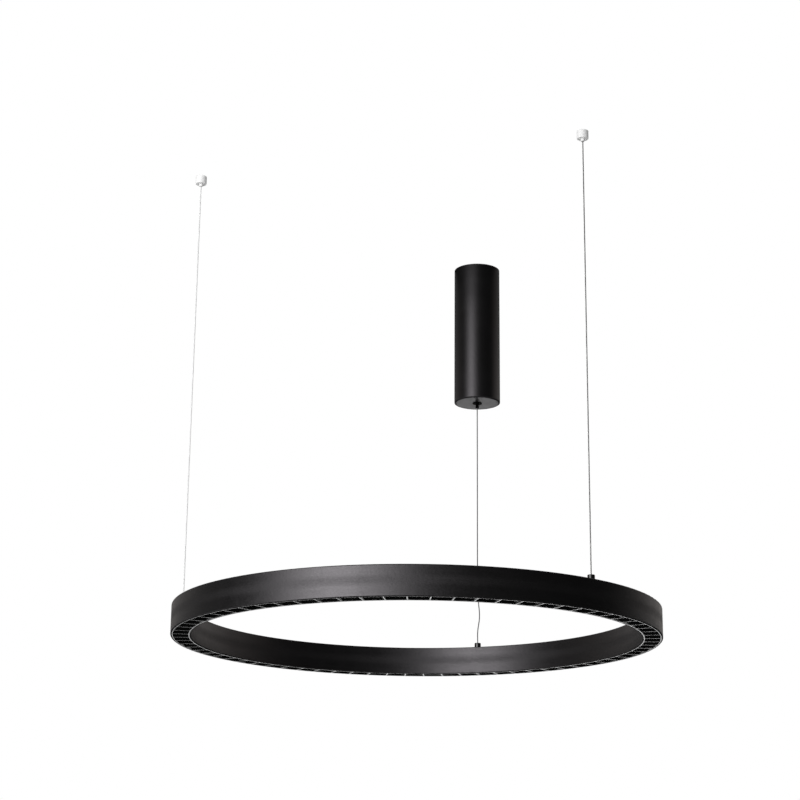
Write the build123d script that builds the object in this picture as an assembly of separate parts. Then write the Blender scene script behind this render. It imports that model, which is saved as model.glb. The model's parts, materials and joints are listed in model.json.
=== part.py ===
"""Ring pendant light on three wires, with its driver in a tall ceiling canopy.

Units are millimetres and +Z is up. The origin is the middle of the ceiling plate, on the ceiling.
The middle wire hangs on the Z axis, and the ring's own axis stands in front of it, at -Y.
"""

import os
from math import cos, degrees, pi, radians, tan

from build123d import *

# Ring profile: two walls joined by a web, rolled to a ring
RING_OUTER_D = 600.0
RING_WIDTH = 25.0
RING_HEIGHT = 35.6
RING_WALL = 1.5
RING_EDGE_R = 1.0
WEB_THICKNESS = 2.0
FEED_HOLE_D = 5.0

# Hanging: the ring's top face lies this far under the ceiling, on evenly spaced wires
DROP = 550.0
POINTS = 3
WIRE_D = 1.5
WIRE_GAP = 0.3

# Louvre: arcs of tapered cells that snap between two ribs of the profile's walls
CELLS = 72
LOUVRE_ARCS = 6
LOUVRE_DEPTH = 14.0
LOUVRE_PLATE = 1.6
LOUVRE_WALL = 1.2
LOUVRE_RIM = 1.3
LOUVRE_SIDE_GAP = 0.15
LOUVRE_END_GAP = 0.2
FIN_WIDTH = 1.4
CELL_TOP = 9.0
SNAP_RIB = 0.3
SNAP_RIB_HEIGHT = 0.6
STOP_RIB = 0.4
STOP_RIB_HEIGHT = 1.2

# Light source: boards under the web, one package over each cell
BOARD_WIDTH = 14.0
BOARD_THICKNESS = 1.2
BOARD_END_GAP = 1.0
LED_LENGTH = 3.5
LED_WIDTH = 2.8
LED_HEIGHT = 0.7
LED_CLEARANCE = 1.8
LINK_LENGTH = 8.0
LINK_WIDTH = 4.0
LINK_HEIGHT = 1.2

# Top covers: flush with the walls, resting on a ledge along each wall
COVER_THICKNESS = 1.5
COVER_SIDE_GAP = 0.2
COVER_END_GAP = 0.4
LEDGE_WIDTH = 1.5
LEDGE_HEIGHT = 1.5

# Wire caps: each screws into a saddle caught under the ledges
CAP_D = 8.6
CAP_HEIGHT = 7.0
CAP_ROOF = 5.5
CAP_EDGE_R = 0.5
STUD_D = 6.0
STUD_LENGTH = 8.5
THREAD_FIT = 0.05
STUD_GAP = 0.2
SADDLE_LENGTH = 22.0
SADDLE_HEIGHT = 7.0
SADDLE_GAP = 0.4
FERRULE_D = 3.4
FERRULE_LENGTH = 8.0
FERRULE_GAP = 0.2

# Feed in the ring: a terminal on the web, a tail from the wire and a lead to the boards
FEED_TERMINAL_LENGTH = 14.0
FEED_TERMINAL_WIDTH = 10.0
FEED_TERMINAL_HEIGHT = 7.0
FEED_TERMINAL_GAP = 5.0
FEED_LEAD_RUN = 8.0
LEAD_D = 1.6

# Canopy tube with an inward lip that carries the end disc
CANOPY_D = 65.0
CANOPY_LENGTH = 200.0
CANOPY_WALL = 1.5
CANOPY_EDGE_R = 1.2
LIP_WIDTH = 1.0
LIP_HEIGHT = 1.6
END_DISC_THICKNESS = 3.0
END_DISC_GAP = 0.2

# Ceiling plate: a shallow cup that the canopy slides over, held by grub screws at the back
PLATE_THICKNESS = 2.0
SKIRT_HEIGHT = 14.0
SKIRT_WALL = 2.0
SKIRT_GAP = 0.4
PLATE_SCREW_SPACING = 40.0
PLATE_SCREW_D = 4.5
MAINS_HOLE_D = 10.0
MAINS_HOLE_Y = -16.0
GRUB_D = 4.0
GRUB_DEPTH = 8.0
GRUB_SUNK = 0.2
GRUB_GAP = 0.3
GRUB_ANGLES = (45.0, 135.0)

# Driver on a bracket that hangs from the ceiling plate, behind the middle wire
STRAP_WIDTH = 24.0
STRAP_THICKNESS = 1.5
STRAP_FRONT_Y = 2.0
STRAP_FOOT = 12.0
DRIVER_WIDTH = 30.0
DRIVER_DEPTH = 20.0
DRIVER_HEIGHT = 110.0
DRIVER_EDGE_R = 2.0
DRIVER_TOP = 32.0
STRAP_BELOW_DRIVER = 4.0
MAINS_TERMINAL = (20.0, 10.0, 12.0)
MAINS_TERMINAL_TOP = 8.0
MAINS_LEAD_SPACING = 10.0
OUTPUT_CONNECTOR = (8.0, 8.0, 10.0)
OUTPUT_CONNECTOR_TOP = 36.0
OUTPUT_CONNECTOR_X = -8.0
OUTPUT_LEAD_SPACING = 3.0
OUTPUT_LEAD_BELOW = 9.0
CLAMP = (10.0, 6.0, 10.0)
CLAMP_TOP = 20.0
CLAMP_FIT = 0.05
CLAMP_SCREW_D = 3.0
CLAMP_SCREW_HEAD_D = 5.0
CLAMP_SCREW_HEAD = 2.0
WIRE_ABOVE_CLAMP = 2.0
TAIL_D = 1.2
TAIL_RISE = 6.0

# Wire grip in the canopy's end disc, with a nozzle that is pushed in to free the wire
FLANGE_D = 13.2
FLANGE_THICKNESS = 0.8
BARREL_D = 9.0
BARREL_LENGTH = 16.0
BARREL_ROOF = 2.0
NUT_ACROSS_FLATS = 13.0
NUT_HEIGHT = 4.0
NOZZLE_D = 4.7
NOZZLE_FIT = 0.08
NOZZLE_EDGE_R = 0.5
NOZZLE_OUT = 6.3
COLLAR_D = 6.6
COLLAR_HEIGHT = 1.2
COLLAR_GAP = 0.3
GRIP_SEAT = 4.0

# Ceiling anchors of the two side wires
ANCHOR_D = 14.0
ANCHOR_HEIGHT = 10.0
ANCHOR_WALL = 1.4
ANCHOR_FLOOR = 2.0
ANCHOR_EDGE_R = 0.8
ANCHOR_BOSS_HEIGHT = 4.0
ANCHOR_SCREW_D = 4.2
ANCHOR_NOZZLE_OUT = 3.0

# Places worked out from the sizes above
RING_OUTER_R = RING_OUTER_D / 2
RING_INNER_R = RING_OUTER_R - RING_WIDTH
RING_MID_R = RING_OUTER_R - RING_WIDTH / 2
RING_TOP_Z = -DROP
RING_BOTTOM_Z = RING_TOP_Z - RING_HEIGHT
RING_AXIS = Pos(0, -RING_MID_R, 0)
HALF_CHANNEL = RING_WIDTH / 2 - RING_WALL
LOUVRE_BOTTOM_Z = RING_BOTTOM_Z + SNAP_RIB_HEIGHT
LOUVRE_TOP_Z = LOUVRE_BOTTOM_Z + LOUVRE_DEPTH
BOARD_BOTTOM_Z = LOUVRE_TOP_Z + LED_CLEARANCE
WEB_BOTTOM_Z = BOARD_BOTTOM_Z + BOARD_THICKNESS
WEB_TOP_Z = WEB_BOTTOM_Z + WEB_THICKNESS
COVER_BOTTOM_Z = RING_TOP_Z - COVER_THICKNESS
LEDGE_BOTTOM_Z = COVER_BOTTOM_Z - LEDGE_HEIGHT
CELL_ANGLE = 360.0 / CELLS
ARC_ANGLE = 360.0 / LOUVRE_ARCS
POINT_ANGLE = 360.0 / POINTS
POINT_ANGLES = [90.0 + POINT_ANGLE * i for i in range(POINTS)]
WIRE_HOLE_R = WIRE_D / 2 + WIRE_GAP
FERRULE_TOP_Z = RING_TOP_Z + CAP_HEIGHT - CAP_ROOF
FEED_TERMINAL_START = SADDLE_LENGTH / 2 + FEED_TERMINAL_GAP
FEED_TERMINAL_END = FEED_TERMINAL_START + FEED_TERMINAL_LENGTH
FEED_HOLE_OFFSET = FEED_TERMINAL_END + FEED_LEAD_RUN
CANOPY_INNER_R = CANOPY_D / 2 - CANOPY_WALL
SKIRT_R = CANOPY_INNER_R - SKIRT_GAP
END_DISC_TOP_Z = -CANOPY_LENGTH + END_DISC_THICKNESS
STRAP_BACK_Y = STRAP_FRONT_Y + STRAP_THICKNESS
NOZZLE_HOLE_R = NOZZLE_D / 2 + NOZZLE_FIT


def box(x0, x1, y0, y1, z0, z1):
    """Return a box between two corners."""
    return Pos((x0 + x1) / 2, (y0 + y1) / 2, (z0 + z1) / 2) * Box(x1 - x0, y1 - y0, z1 - z0)


def rod(radius, z0, z1, x=0.0, y=0.0):
    """Return an upright cylinder between two heights."""
    return Pos(x, y, (z0 + z1) / 2) * Cylinder(radius, z1 - z0)


def band(r0, r1, z0, z1):
    """Return a rectangle in the XZ plane, ready to be turned about Z."""
    return Plane.XZ * Pos((r0 + r1) / 2, (z0 + z1) / 2) * Rectangle(r1 - r0, z1 - z0)


def arc_piece(section, start, angle):
    """Turn a section about the ring's axis, from one angle and for another."""
    return RING_AXIS * Rot(0, 0, start) * revolve(section, Axis.Z, angle)


def at_angle(angle, radius=RING_MID_R):
    """Return the place on the ring at an angle, turned so that its X axis points outwards."""
    return RING_AXIS * Rot(0, 0, angle) * Pos(radius, 0, 0)


def trim_angle(gap):
    """Return the angle that a straight gap takes up on the ring's middle circle."""
    return degrees(gap / RING_MID_R)


def cord(diameter, points):
    """Sweep a round lead along straight runs, with turns as wide as the runs allow."""
    path_points = [Vector(*p) for p in points]
    if len(path_points) == 2:
        path = Line(*path_points)
    else:
        runs = [b - a for a, b in zip(path_points, path_points[1:])]
        radii = []
        for run, following in zip(runs, runs[1:]):
            half_turn = radians(run.get_angle(following) / 2)
            radii.append(0.45 * min(run.length, following.length) / tan(half_turn))
        path = FilletPolyline(*path_points, radius=radii)
        print("lead radii", [round(r, 2) for r in radii])
    start = Plane(origin=path @ 0, z_dir=path % 0)
    lead = sweep(start * Circle(diameter / 2), path=path)
    print("lead volume", round(lead.volume, 2), "section x length", round(pi * diameter**2 / 4 * path.length, 2))
    return lead


def ring_profile():
    """Return the rolled profile: walls, web, ledges for the covers and ribs for the louvre."""
    inner, outer = RING_INNER_R, RING_OUTER_R
    walls = band(inner, inner + RING_WALL, RING_BOTTOM_Z, RING_TOP_Z)
    walls += band(outer - RING_WALL, outer, RING_BOTTOM_Z, RING_TOP_Z)
    edges = [v for v in walls.vertices() if abs(v.X - inner) < 0.01 or abs(v.X - outer) < 0.01]
    section = fillet(edges, RING_EDGE_R)
    section += band(inner + RING_WALL, outer - RING_WALL, WEB_BOTTOM_Z, WEB_TOP_Z)
    stop_z = LOUVRE_BOTTOM_Z + LOUVRE_PLATE
    for width, z0, z1 in (
        (LEDGE_WIDTH, LEDGE_BOTTOM_Z, COVER_BOTTOM_Z),
        (STOP_RIB, stop_z, stop_z + STOP_RIB_HEIGHT),
        (SNAP_RIB, RING_BOTTOM_Z, LOUVRE_BOTTOM_Z),
    ):
        section += band(inner + RING_WALL, inner + RING_WALL + width, z0, z1)
        section += band(outer - RING_WALL - width, outer - RING_WALL, z0, z1)
    ring = arc_piece(section, 0, 360)
    hole = rod(FEED_HOLE_D / 2, WEB_BOTTOM_Z, WEB_TOP_Z, 0, FEED_HOLE_OFFSET)
    return ring - at_angle(POINT_ANGLES[0]) * hole


def cell_frustum(grow, z0, z1):
    """Return one cell as a tapered block, at the ring's angle zero.

    The cell's sides stay parallel to the fins beside it from mouth to top, so every face is flat.
    """
    slope = tan(radians(CELL_ANGLE / 2))
    mouth_reach = HALF_CHANNEL - LOUVRE_SIDE_GAP - LOUVRE_RIM
    mouth_half = RING_MID_R * slope - FIN_WIDTH / 2 / cos(radians(CELL_ANGLE / 2))
    outlines = []
    for z in (z0, z1):
        share = (z - LOUVRE_BOTTOM_Z) / LOUVRE_DEPTH
        reach = mouth_reach + (CELL_TOP / 2 - mouth_reach) * share + grow
        half = mouth_half + (CELL_TOP / 2 - mouth_half) * share + grow
        corners = [
            (RING_MID_R - reach, -half + reach * slope, z),
            (RING_MID_R + reach, -half - reach * slope, z),
            (RING_MID_R + reach, half + reach * slope, z),
            (RING_MID_R - reach, half - reach * slope, z),
        ]
        outlines.append(corners)
    lower, upper = outlines
    sides = [[lower[i - 1], lower[i], upper[i], upper[i - 1]] for i in range(4)]
    faces = [Face(Wire.make_polygon(outline)) for outline in (lower, upper, *sides)]
    return Solid(Shell(faces))


def louvre_arc(index):
    """Return one arc of the louvre: a face plate with a row of tapered cups over its openings."""
    start = POINT_ANGLES[0] + index * ARC_ANGLE
    trim = trim_angle(LOUVRE_END_GAP) / 2
    reach = HALF_CHANNEL - LOUVRE_SIDE_GAP
    plate_top = LOUVRE_BOTTOM_Z + LOUVRE_PLATE
    section = band(RING_MID_R - reach, RING_MID_R + reach, LOUVRE_BOTTOM_Z, plate_top)
    plate = Rot(0, 0, trim) * revolve(section, Axis.Z, ARC_ANGLE - 2 * trim)
    cup = cell_frustum(LOUVRE_WALL, plate_top - LOUVRE_WALL / 2, LOUVRE_TOP_Z)
    hollow = cell_frustum(0, LOUVRE_BOTTOM_Z - LOUVRE_PLATE, LOUVRE_TOP_Z + LOUVRE_PLATE)
    turns = [Rot(0, 0, CELL_ANGLE * (i + 0.5)) for i in range(CELLS // LOUVRE_ARCS)]
    limits = Rot(0, 0, trim) * revolve(
        band(RING_INNER_R, RING_OUTER_R, LOUVRE_BOTTOM_Z, LOUVRE_TOP_Z), Axis.Z, ARC_ANGLE - 2 * trim
    )
    cups = [turn * cup for turn in turns]
    arc = plate.fuse(*cups) & limits
    arc = arc.cut(*[turn * hollow for turn in turns])
    return RING_AXIS * Rot(0, 0, start) * arc


def board_arc(index):
    """Return one LED board, under the web and over one arc of the louvre."""
    trim = trim_angle(BOARD_END_GAP) / 2
    half = BOARD_WIDTH / 2
    section = band(RING_MID_R - half, RING_MID_R + half, BOARD_BOTTOM_Z, WEB_BOTTOM_Z)
    return arc_piece(section, POINT_ANGLES[0] + index * ARC_ANGLE + trim, ARC_ANGLE - 2 * trim)


def led_packages():
    """Return the LED packages, one in the middle of each cell."""
    package = box(
        -LED_WIDTH / 2, LED_WIDTH / 2, -LED_LENGTH / 2, LED_LENGTH / 2, BOARD_BOTTOM_Z - LED_HEIGHT, BOARD_BOTTOM_Z
    )
    angles = [POINT_ANGLES[0] + CELL_ANGLE * (i + 0.5) for i in range(CELLS)]
    return Compound(children=[at_angle(angle) * package for angle in angles])


def board_links():
    """Return the small bridges that join each board to the next."""
    half_width, half_length = LINK_WIDTH / 2, LINK_LENGTH / 2
    link = box(-half_width, half_width, -half_length, half_length, BOARD_BOTTOM_Z - LINK_HEIGHT, BOARD_BOTTOM_Z)
    angles = [POINT_ANGLES[0] + ARC_ANGLE * i for i in range(LOUVRE_ARCS)]
    return Compound(children=[at_angle(angle) * link for angle in angles])


def top_cover(angle):
    """Return one arc of the top cover, with the hole that its cap's stud passes through."""
    trim = trim_angle(COVER_END_GAP) / 2
    reach = HALF_CHANNEL - COVER_SIDE_GAP
    section = band(RING_MID_R - reach, RING_MID_R + reach, COVER_BOTTOM_Z, RING_TOP_Z)
    cover = arc_piece(section, angle - POINT_ANGLE / 2 + trim, POINT_ANGLE - 2 * trim)
    hole = rod(STUD_D / 2 + STUD_GAP, COVER_BOTTOM_Z - COVER_THICKNESS, RING_TOP_Z + COVER_THICKNESS)
    return cover - at_angle(angle) * hole


def saddle(angle):
    """Return the block that is caught under the ledges and takes one cap's stud."""
    turn = trim_angle(SADDLE_LENGTH)
    reach = HALF_CHANNEL - SADDLE_GAP
    bottom = LEDGE_BOTTOM_Z - SADDLE_HEIGHT
    section = band(RING_MID_R - reach, RING_MID_R + reach, bottom, LEDGE_BOTTOM_Z)
    hole = rod(STUD_D / 2 + THREAD_FIT, bottom - SADDLE_HEIGHT, LEDGE_BOTTOM_Z + SADDLE_HEIGHT)
    return arc_piece(section, angle - turn / 2, turn) - at_angle(angle) * hole


def wire_cap(angle):
    """Return one cap: a round head on a stud, bored for the wire and for its ferrule."""
    head = rod(CAP_D / 2, RING_TOP_Z, RING_TOP_Z + CAP_HEIGHT)
    head = fillet(head.edges().group_by(Axis.Z)[-1], CAP_EDGE_R)
    cap = head + rod(STUD_D / 2, RING_TOP_Z - STUD_LENGTH, RING_TOP_Z)
    cap -= rod(WIRE_HOLE_R, RING_TOP_Z - STUD_LENGTH, RING_TOP_Z + CAP_HEIGHT)
    cap -= rod(FERRULE_D / 2 + FERRULE_GAP, RING_TOP_Z - STUD_LENGTH, FERRULE_TOP_Z)
    return at_angle(angle) * cap


def ferrule(angle):
    """Return the sleeve crimped on a wire's lower end, caught under the cap's roof."""
    return at_angle(angle) * rod(FERRULE_D / 2, FERRULE_TOP_Z - FERRULE_LENGTH, FERRULE_TOP_Z)


def ring_feed():
    """Return the feed terminal, the tail from the middle wire and the lead to the boards."""
    place = at_angle(POINT_ANGLES[0])
    half_width = FEED_TERMINAL_WIDTH / 2
    terminal_top = WEB_TOP_Z + FEED_TERMINAL_HEIGHT
    entry_z = WEB_TOP_Z + FEED_TERMINAL_HEIGHT / 2
    terminal = box(-half_width, half_width, FEED_TERMINAL_START, FEED_TERMINAL_END, WEB_TOP_Z, terminal_top)
    tail_top = FERRULE_TOP_Z - FERRULE_LENGTH
    tail = cord(LEAD_D, [(0, 0, tail_top), (0, 0, entry_z), (0, FEED_TERMINAL_START, entry_z)])
    lead_end = (0, FEED_HOLE_OFFSET, WEB_BOTTOM_Z)
    lead = cord(LEAD_D, [(0, FEED_TERMINAL_END, entry_z), (0, FEED_HOLE_OFFSET, entry_z), lead_end])
    return {"feed_terminal": place * terminal, "feed_tail": place * tail, "feed_lead": place * lead}


def canopy_tube():
    """Return the canopy: a tube with a rounded bottom edge and an inward lip."""
    tube = rod(CANOPY_D / 2, -CANOPY_LENGTH, 0)
    tube = fillet(tube.edges().group_by(Axis.Z)[0], CANOPY_EDGE_R)
    tube -= rod(CANOPY_INNER_R, -CANOPY_LENGTH + LIP_HEIGHT, 0)
    tube -= rod(CANOPY_INNER_R - LIP_WIDTH, -CANOPY_LENGTH, -CANOPY_LENGTH + LIP_HEIGHT)
    for angle in GRUB_ANGLES:
        hole = Rot(0, 90, 0) * Cylinder(GRUB_D / 2 + THREAD_FIT, 4 * CANOPY_WALL)
        tube -= Rot(0, 0, angle) * Pos(CANOPY_D / 2, 0, -GRUB_DEPTH) * hole
    return tube


def grub_screws():
    """Return the grub screws, backed off so that the canopy is free to slide."""
    tip = SKIRT_R + GRUB_GAP
    head = CANOPY_D / 2 - GRUB_SUNK
    screw = Pos((tip + head) / 2, 0, -GRUB_DEPTH) * Rot(0, 90, 0) * Cylinder(GRUB_D / 2, head - tip)
    return Compound(children=[Rot(0, 0, angle) * screw for angle in GRUB_ANGLES])


def end_disc():
    """Return the stepped disc that closes the canopy and rests on its lip."""
    disc = rod(CANOPY_INNER_R - END_DISC_GAP, -CANOPY_LENGTH + LIP_HEIGHT, END_DISC_TOP_Z)
    disc += rod(CANOPY_INNER_R - LIP_WIDTH - END_DISC_GAP, -CANOPY_LENGTH, -CANOPY_LENGTH + LIP_HEIGHT)
    return disc - rod(BARREL_D / 2 + THREAD_FIT, -CANOPY_LENGTH, END_DISC_TOP_Z)


def nozzle(seat_z, out_z):
    """Return a release nozzle: a bored pin with a collar that rests on its seat."""
    pin = rod(NOZZLE_D / 2, out_z, seat_z)
    pin = fillet(pin.edges().group_by(Axis.Z)[0], NOZZLE_EDGE_R)
    pin += rod(COLLAR_D / 2, seat_z, seat_z + COLLAR_HEIGHT)
    return pin - rod(WIRE_HOLE_R, out_z, seat_z + COLLAR_HEIGHT)


def wire_grip():
    """Return the grip's barrel with its flange, the nut that holds it and its nozzle."""
    bottom = -CANOPY_LENGTH - FLANGE_THICKNESS
    seat = -CANOPY_LENGTH + GRIP_SEAT
    top = -CANOPY_LENGTH + BARREL_LENGTH
    barrel = rod(FLANGE_D / 2, bottom, -CANOPY_LENGTH) + rod(BARREL_D / 2, -CANOPY_LENGTH, top)
    barrel -= rod(NOZZLE_HOLE_R, bottom, seat)
    barrel -= rod(COLLAR_D / 2 + COLLAR_GAP, seat, top - BARREL_ROOF)
    barrel -= rod(WIRE_HOLE_R, top - BARREL_ROOF, top)
    hexagon = RegularPolygon(NUT_ACROSS_FLATS / 2, 6, major_radius=False)
    nut = Pos(0, 0, END_DISC_TOP_Z) * extrude(hexagon, NUT_HEIGHT)
    nut -= rod(BARREL_D / 2 + THREAD_FIT, END_DISC_TOP_Z, END_DISC_TOP_Z + NUT_HEIGHT)
    return {"grip_barrel": barrel, "grip_nut": nut, "canopy_nozzle": nozzle(seat, bottom - NOZZLE_OUT)}


def ceiling_plate():
    """Return the cup that is screwed to the ceiling and takes the canopy."""
    plate = rod(SKIRT_R, -SKIRT_HEIGHT, 0)
    plate -= rod(SKIRT_R - SKIRT_WALL, -SKIRT_HEIGHT, -PLATE_THICKNESS)
    for x in (-PLATE_SCREW_SPACING / 2, PLATE_SCREW_SPACING / 2):
        plate -= rod(PLATE_SCREW_D / 2, -PLATE_THICKNESS, 0, x)
    return plate - rod(MAINS_HOLE_D / 2, -PLATE_THICKNESS, 0, 0, MAINS_HOLE_Y)


def driver_parts():
    """Return the bracket, the driver and the terminals and leads on it."""
    half = STRAP_WIDTH / 2
    driver_bottom = -DRIVER_TOP - DRIVER_HEIGHT
    strap_bottom = driver_bottom - STRAP_BELOW_DRIVER
    strap = box(-half, half, STRAP_FRONT_Y, STRAP_BACK_Y, strap_bottom, -PLATE_THICKNESS)
    foot_back = STRAP_BACK_Y + STRAP_FOOT
    strap += box(-half, half, STRAP_BACK_Y, foot_back, -PLATE_THICKNESS - STRAP_THICKNESS, -PLATE_THICKNESS)
    driver_back = STRAP_BACK_Y + DRIVER_DEPTH
    case = box(-DRIVER_WIDTH / 2, DRIVER_WIDTH / 2, STRAP_BACK_Y, driver_back, driver_bottom, -DRIVER_TOP)
    case = fillet(case.edges().filter_by(Axis.Z), DRIVER_EDGE_R)

    width, depth, height = MAINS_TERMINAL
    terminal_bottom = -MAINS_TERMINAL_TOP - height
    terminal = box(-width / 2, width / 2, STRAP_BACK_Y, STRAP_BACK_Y + depth, terminal_bottom, -MAINS_TERMINAL_TOP)
    mains_y = STRAP_BACK_Y + depth / 2
    mains_leads = [
        cord(LEAD_D, [(x, mains_y, -DRIVER_TOP), (x, mains_y, terminal_bottom)])
        for x in (-MAINS_LEAD_SPACING / 2, MAINS_LEAD_SPACING / 2)
    ]

    width, depth, height = OUTPUT_CONNECTOR
    connector_bottom = -OUTPUT_CONNECTOR_TOP - height
    x = OUTPUT_CONNECTOR_X
    front = STRAP_FRONT_Y - depth
    connector = box(x - width / 2, x + width / 2, front, STRAP_FRONT_Y, connector_bottom, -OUTPUT_CONNECTOR_TOP)
    lead_y = STRAP_FRONT_Y - depth / 2
    driver_y = STRAP_BACK_Y + DRIVER_DEPTH / 2
    low = driver_bottom - OUTPUT_LEAD_BELOW
    output_leads = [
        cord(
            LEAD_D,
            [
                (lead_x, driver_y, driver_bottom),
                (lead_x, driver_y, low),
                (lead_x, lead_y, low),
                (lead_x, lead_y, connector_bottom),
            ],
        )
        for lead_x in (x - OUTPUT_LEAD_SPACING / 2, x + OUTPUT_LEAD_SPACING / 2)
    ]

    width, depth, height = CLAMP
    clamp_bottom = -CLAMP_TOP - height
    clamp_front = STRAP_FRONT_Y - depth
    clamp = box(-width / 2, width / 2, clamp_front, STRAP_FRONT_Y, clamp_bottom, -CLAMP_TOP)
    clamp -= rod(WIRE_D / 2 + CLAMP_FIT, clamp_bottom, -CLAMP_TOP)
    screw_z = -CLAMP_TOP - height / 2
    screw_tip = -WIRE_D / 2 - CLAMP_FIT
    shank = Rot(90, 0, 0) * Cylinder(CLAMP_SCREW_D / 2, screw_tip - clamp_front)
    clamp -= Pos(0, (screw_tip + clamp_front) / 2, screw_z) * shank
    head = Rot(90, 0, 0) * Cylinder(CLAMP_SCREW_HEAD_D / 2, CLAMP_SCREW_HEAD)
    screw = Pos(0, (screw_tip + clamp_front) / 2, screw_z) * shank
    screw += Pos(0, clamp_front - CLAMP_SCREW_HEAD / 2, screw_z) * head

    tail_bottom = -CLAMP_TOP + WIRE_ABOVE_CLAMP
    tail_top = tail_bottom + TAIL_RISE
    tail = cord(
        TAIL_D,
        [(0, 0, tail_bottom), (0, 0, tail_top), (x, lead_y, tail_top), (x, lead_y, -OUTPUT_CONNECTOR_TOP)],
    )
    return {
        "driver_bracket": strap,
        "driver_case": case,
        "mains_terminal": terminal,
        "mains_leads": Compound(children=mains_leads),
        "output_connector": connector,
        "output_leads": Compound(children=output_leads),
        "wire_clamp": clamp,
        "clamp_screw": screw,
        "wire_tail": tail,
    }


def anchor(side, angle):
    """Return one ceiling anchor: base, cup and nozzle, over the wire at an angle of the ring."""
    boss_r = ANCHOR_D / 2 - ANCHOR_WALL
    base = rod(boss_r - THREAD_FIT, -ANCHOR_BOSS_HEIGHT, 0)
    base -= rod(ANCHOR_SCREW_D / 2, -ANCHOR_BOSS_HEIGHT, 0)
    cup = rod(ANCHOR_D / 2, -ANCHOR_HEIGHT, 0)
    cup = fillet(cup.edges().group_by(Axis.Z)[0], ANCHOR_EDGE_R)
    seat = -ANCHOR_HEIGHT + ANCHOR_FLOOR
    cup -= rod(boss_r, seat, 0)
    cup -= rod(NOZZLE_HOLE_R, -ANCHOR_HEIGHT, seat)
    place = at_angle(angle)
    return {
        f"{side}_anchor_base": place * base,
        f"{side}_anchor_cup": place * cup,
        f"{side}_nozzle": place * nozzle(seat, -ANCHOR_HEIGHT - ANCHOR_NOZZLE_OUT),
    }


def wire(angle, top_z):
    """Return one straight suspension wire, from its upper end to the ferrule in its cap."""
    return at_angle(angle) * rod(WIRE_D / 2, FERRULE_TOP_Z, top_z)


def build():
    """Return every piece of the light by its node name."""
    middle, left, right = POINT_ANGLES
    parts = {"ring_profile": ring_profile(), "led_packages": led_packages(), "board_links": board_links()}
    for index in range(LOUVRE_ARCS):
        parts[f"louvre_{index + 1}"] = louvre_arc(index)
        parts[f"led_board_{index + 1}"] = board_arc(index)
    for name, angle in (("middle", middle), ("left", left), ("right", right)):
        parts[f"{name}_top_cover"] = top_cover(angle)
        parts[f"{name}_saddle"] = saddle(angle)
        parts[f"{name}_cap"] = wire_cap(angle)
        parts[f"{name}_ferrule"] = ferrule(angle)
    parts.update(ring_feed())
    parts["canopy_tube"] = canopy_tube()
    parts["grub_screws"] = grub_screws()
    parts["end_disc"] = end_disc()
    parts.update(wire_grip())
    parts["ceiling_plate"] = ceiling_plate()
    parts.update(driver_parts())
    parts.update(anchor("left", left))
    parts.update(anchor("right", right))
    parts["middle_wire"] = wire(middle, -CLAMP_TOP + WIRE_ABOVE_CLAMP)
    parts["left_wire"] = wire(left, -ANCHOR_BOSS_HEIGHT)
    parts["right_wire"] = wire(right, -ANCHOR_BOSS_HEIGHT)
    return parts


os.makedirs("parts", exist_ok=True)
for node, shape in build().items():
    export_step(shape, f"parts/{node}.step")
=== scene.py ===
"""Dresses the ring pendant light: camera and studio, wires, louvre, light source, fittings and finishes."""

import json
import logging
import math
from dataclasses import dataclass
from enum import Enum
from typing import Any, Callable, Sequence

import bmesh
import bpy
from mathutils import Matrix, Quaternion, Vector

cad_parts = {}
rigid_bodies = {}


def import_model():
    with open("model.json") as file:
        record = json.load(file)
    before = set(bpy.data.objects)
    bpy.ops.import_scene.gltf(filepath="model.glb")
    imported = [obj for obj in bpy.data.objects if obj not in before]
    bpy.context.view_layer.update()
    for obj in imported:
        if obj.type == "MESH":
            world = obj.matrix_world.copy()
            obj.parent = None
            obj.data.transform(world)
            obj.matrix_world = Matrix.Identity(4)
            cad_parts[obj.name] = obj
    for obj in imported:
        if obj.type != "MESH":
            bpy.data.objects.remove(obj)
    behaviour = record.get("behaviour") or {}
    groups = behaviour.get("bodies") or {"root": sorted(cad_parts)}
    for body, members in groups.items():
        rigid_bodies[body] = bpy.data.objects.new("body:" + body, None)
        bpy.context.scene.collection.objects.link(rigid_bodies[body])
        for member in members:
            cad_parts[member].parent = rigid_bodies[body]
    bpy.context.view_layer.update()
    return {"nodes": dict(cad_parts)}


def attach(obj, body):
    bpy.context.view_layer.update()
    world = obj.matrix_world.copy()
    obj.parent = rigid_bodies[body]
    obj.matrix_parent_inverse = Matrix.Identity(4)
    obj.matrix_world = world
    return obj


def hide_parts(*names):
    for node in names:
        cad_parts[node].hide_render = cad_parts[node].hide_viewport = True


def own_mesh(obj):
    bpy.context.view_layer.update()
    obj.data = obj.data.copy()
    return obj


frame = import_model()

LOG = logging.getLogger("ring_pendant")
Point = tuple[float, float, float]
Colour = tuple[float, float, float, float]
Span = tuple[float, float]

MM = 0.001
HALF = 0.5
EVEN: Point = (1.0, 1.0, 1.0)
ORIGIN: Point = (0.0, 0.0, 0.0)
WHITE: Colour = (1.0, 1.0, 1.0, 1.0)
WELD = 1e-6
FINE_WELD = 1e-7
SPLINE_ORDER = 3
HEXAGON_SIDES = 6
RIGHT_DEG = 90.0
MIX_FIRST, MIX_SECOND, MIX_RESULT = 6, 7, 2

RING_AXIS_Y = -287.5 * MM
RING_RADIUS = 287.5 * MM
CELLS = 72
FIRST_DEG = 90.0
LOUVRE_FACE_Z = -585.55 * MM
LEAD_DIAMETER = 1.6 * MM


class Body(str, Enum):
    """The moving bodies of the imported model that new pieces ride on."""

    CEILING = "ceiling"
    CANOPY = "canopy"
    RING = "ring"


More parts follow.
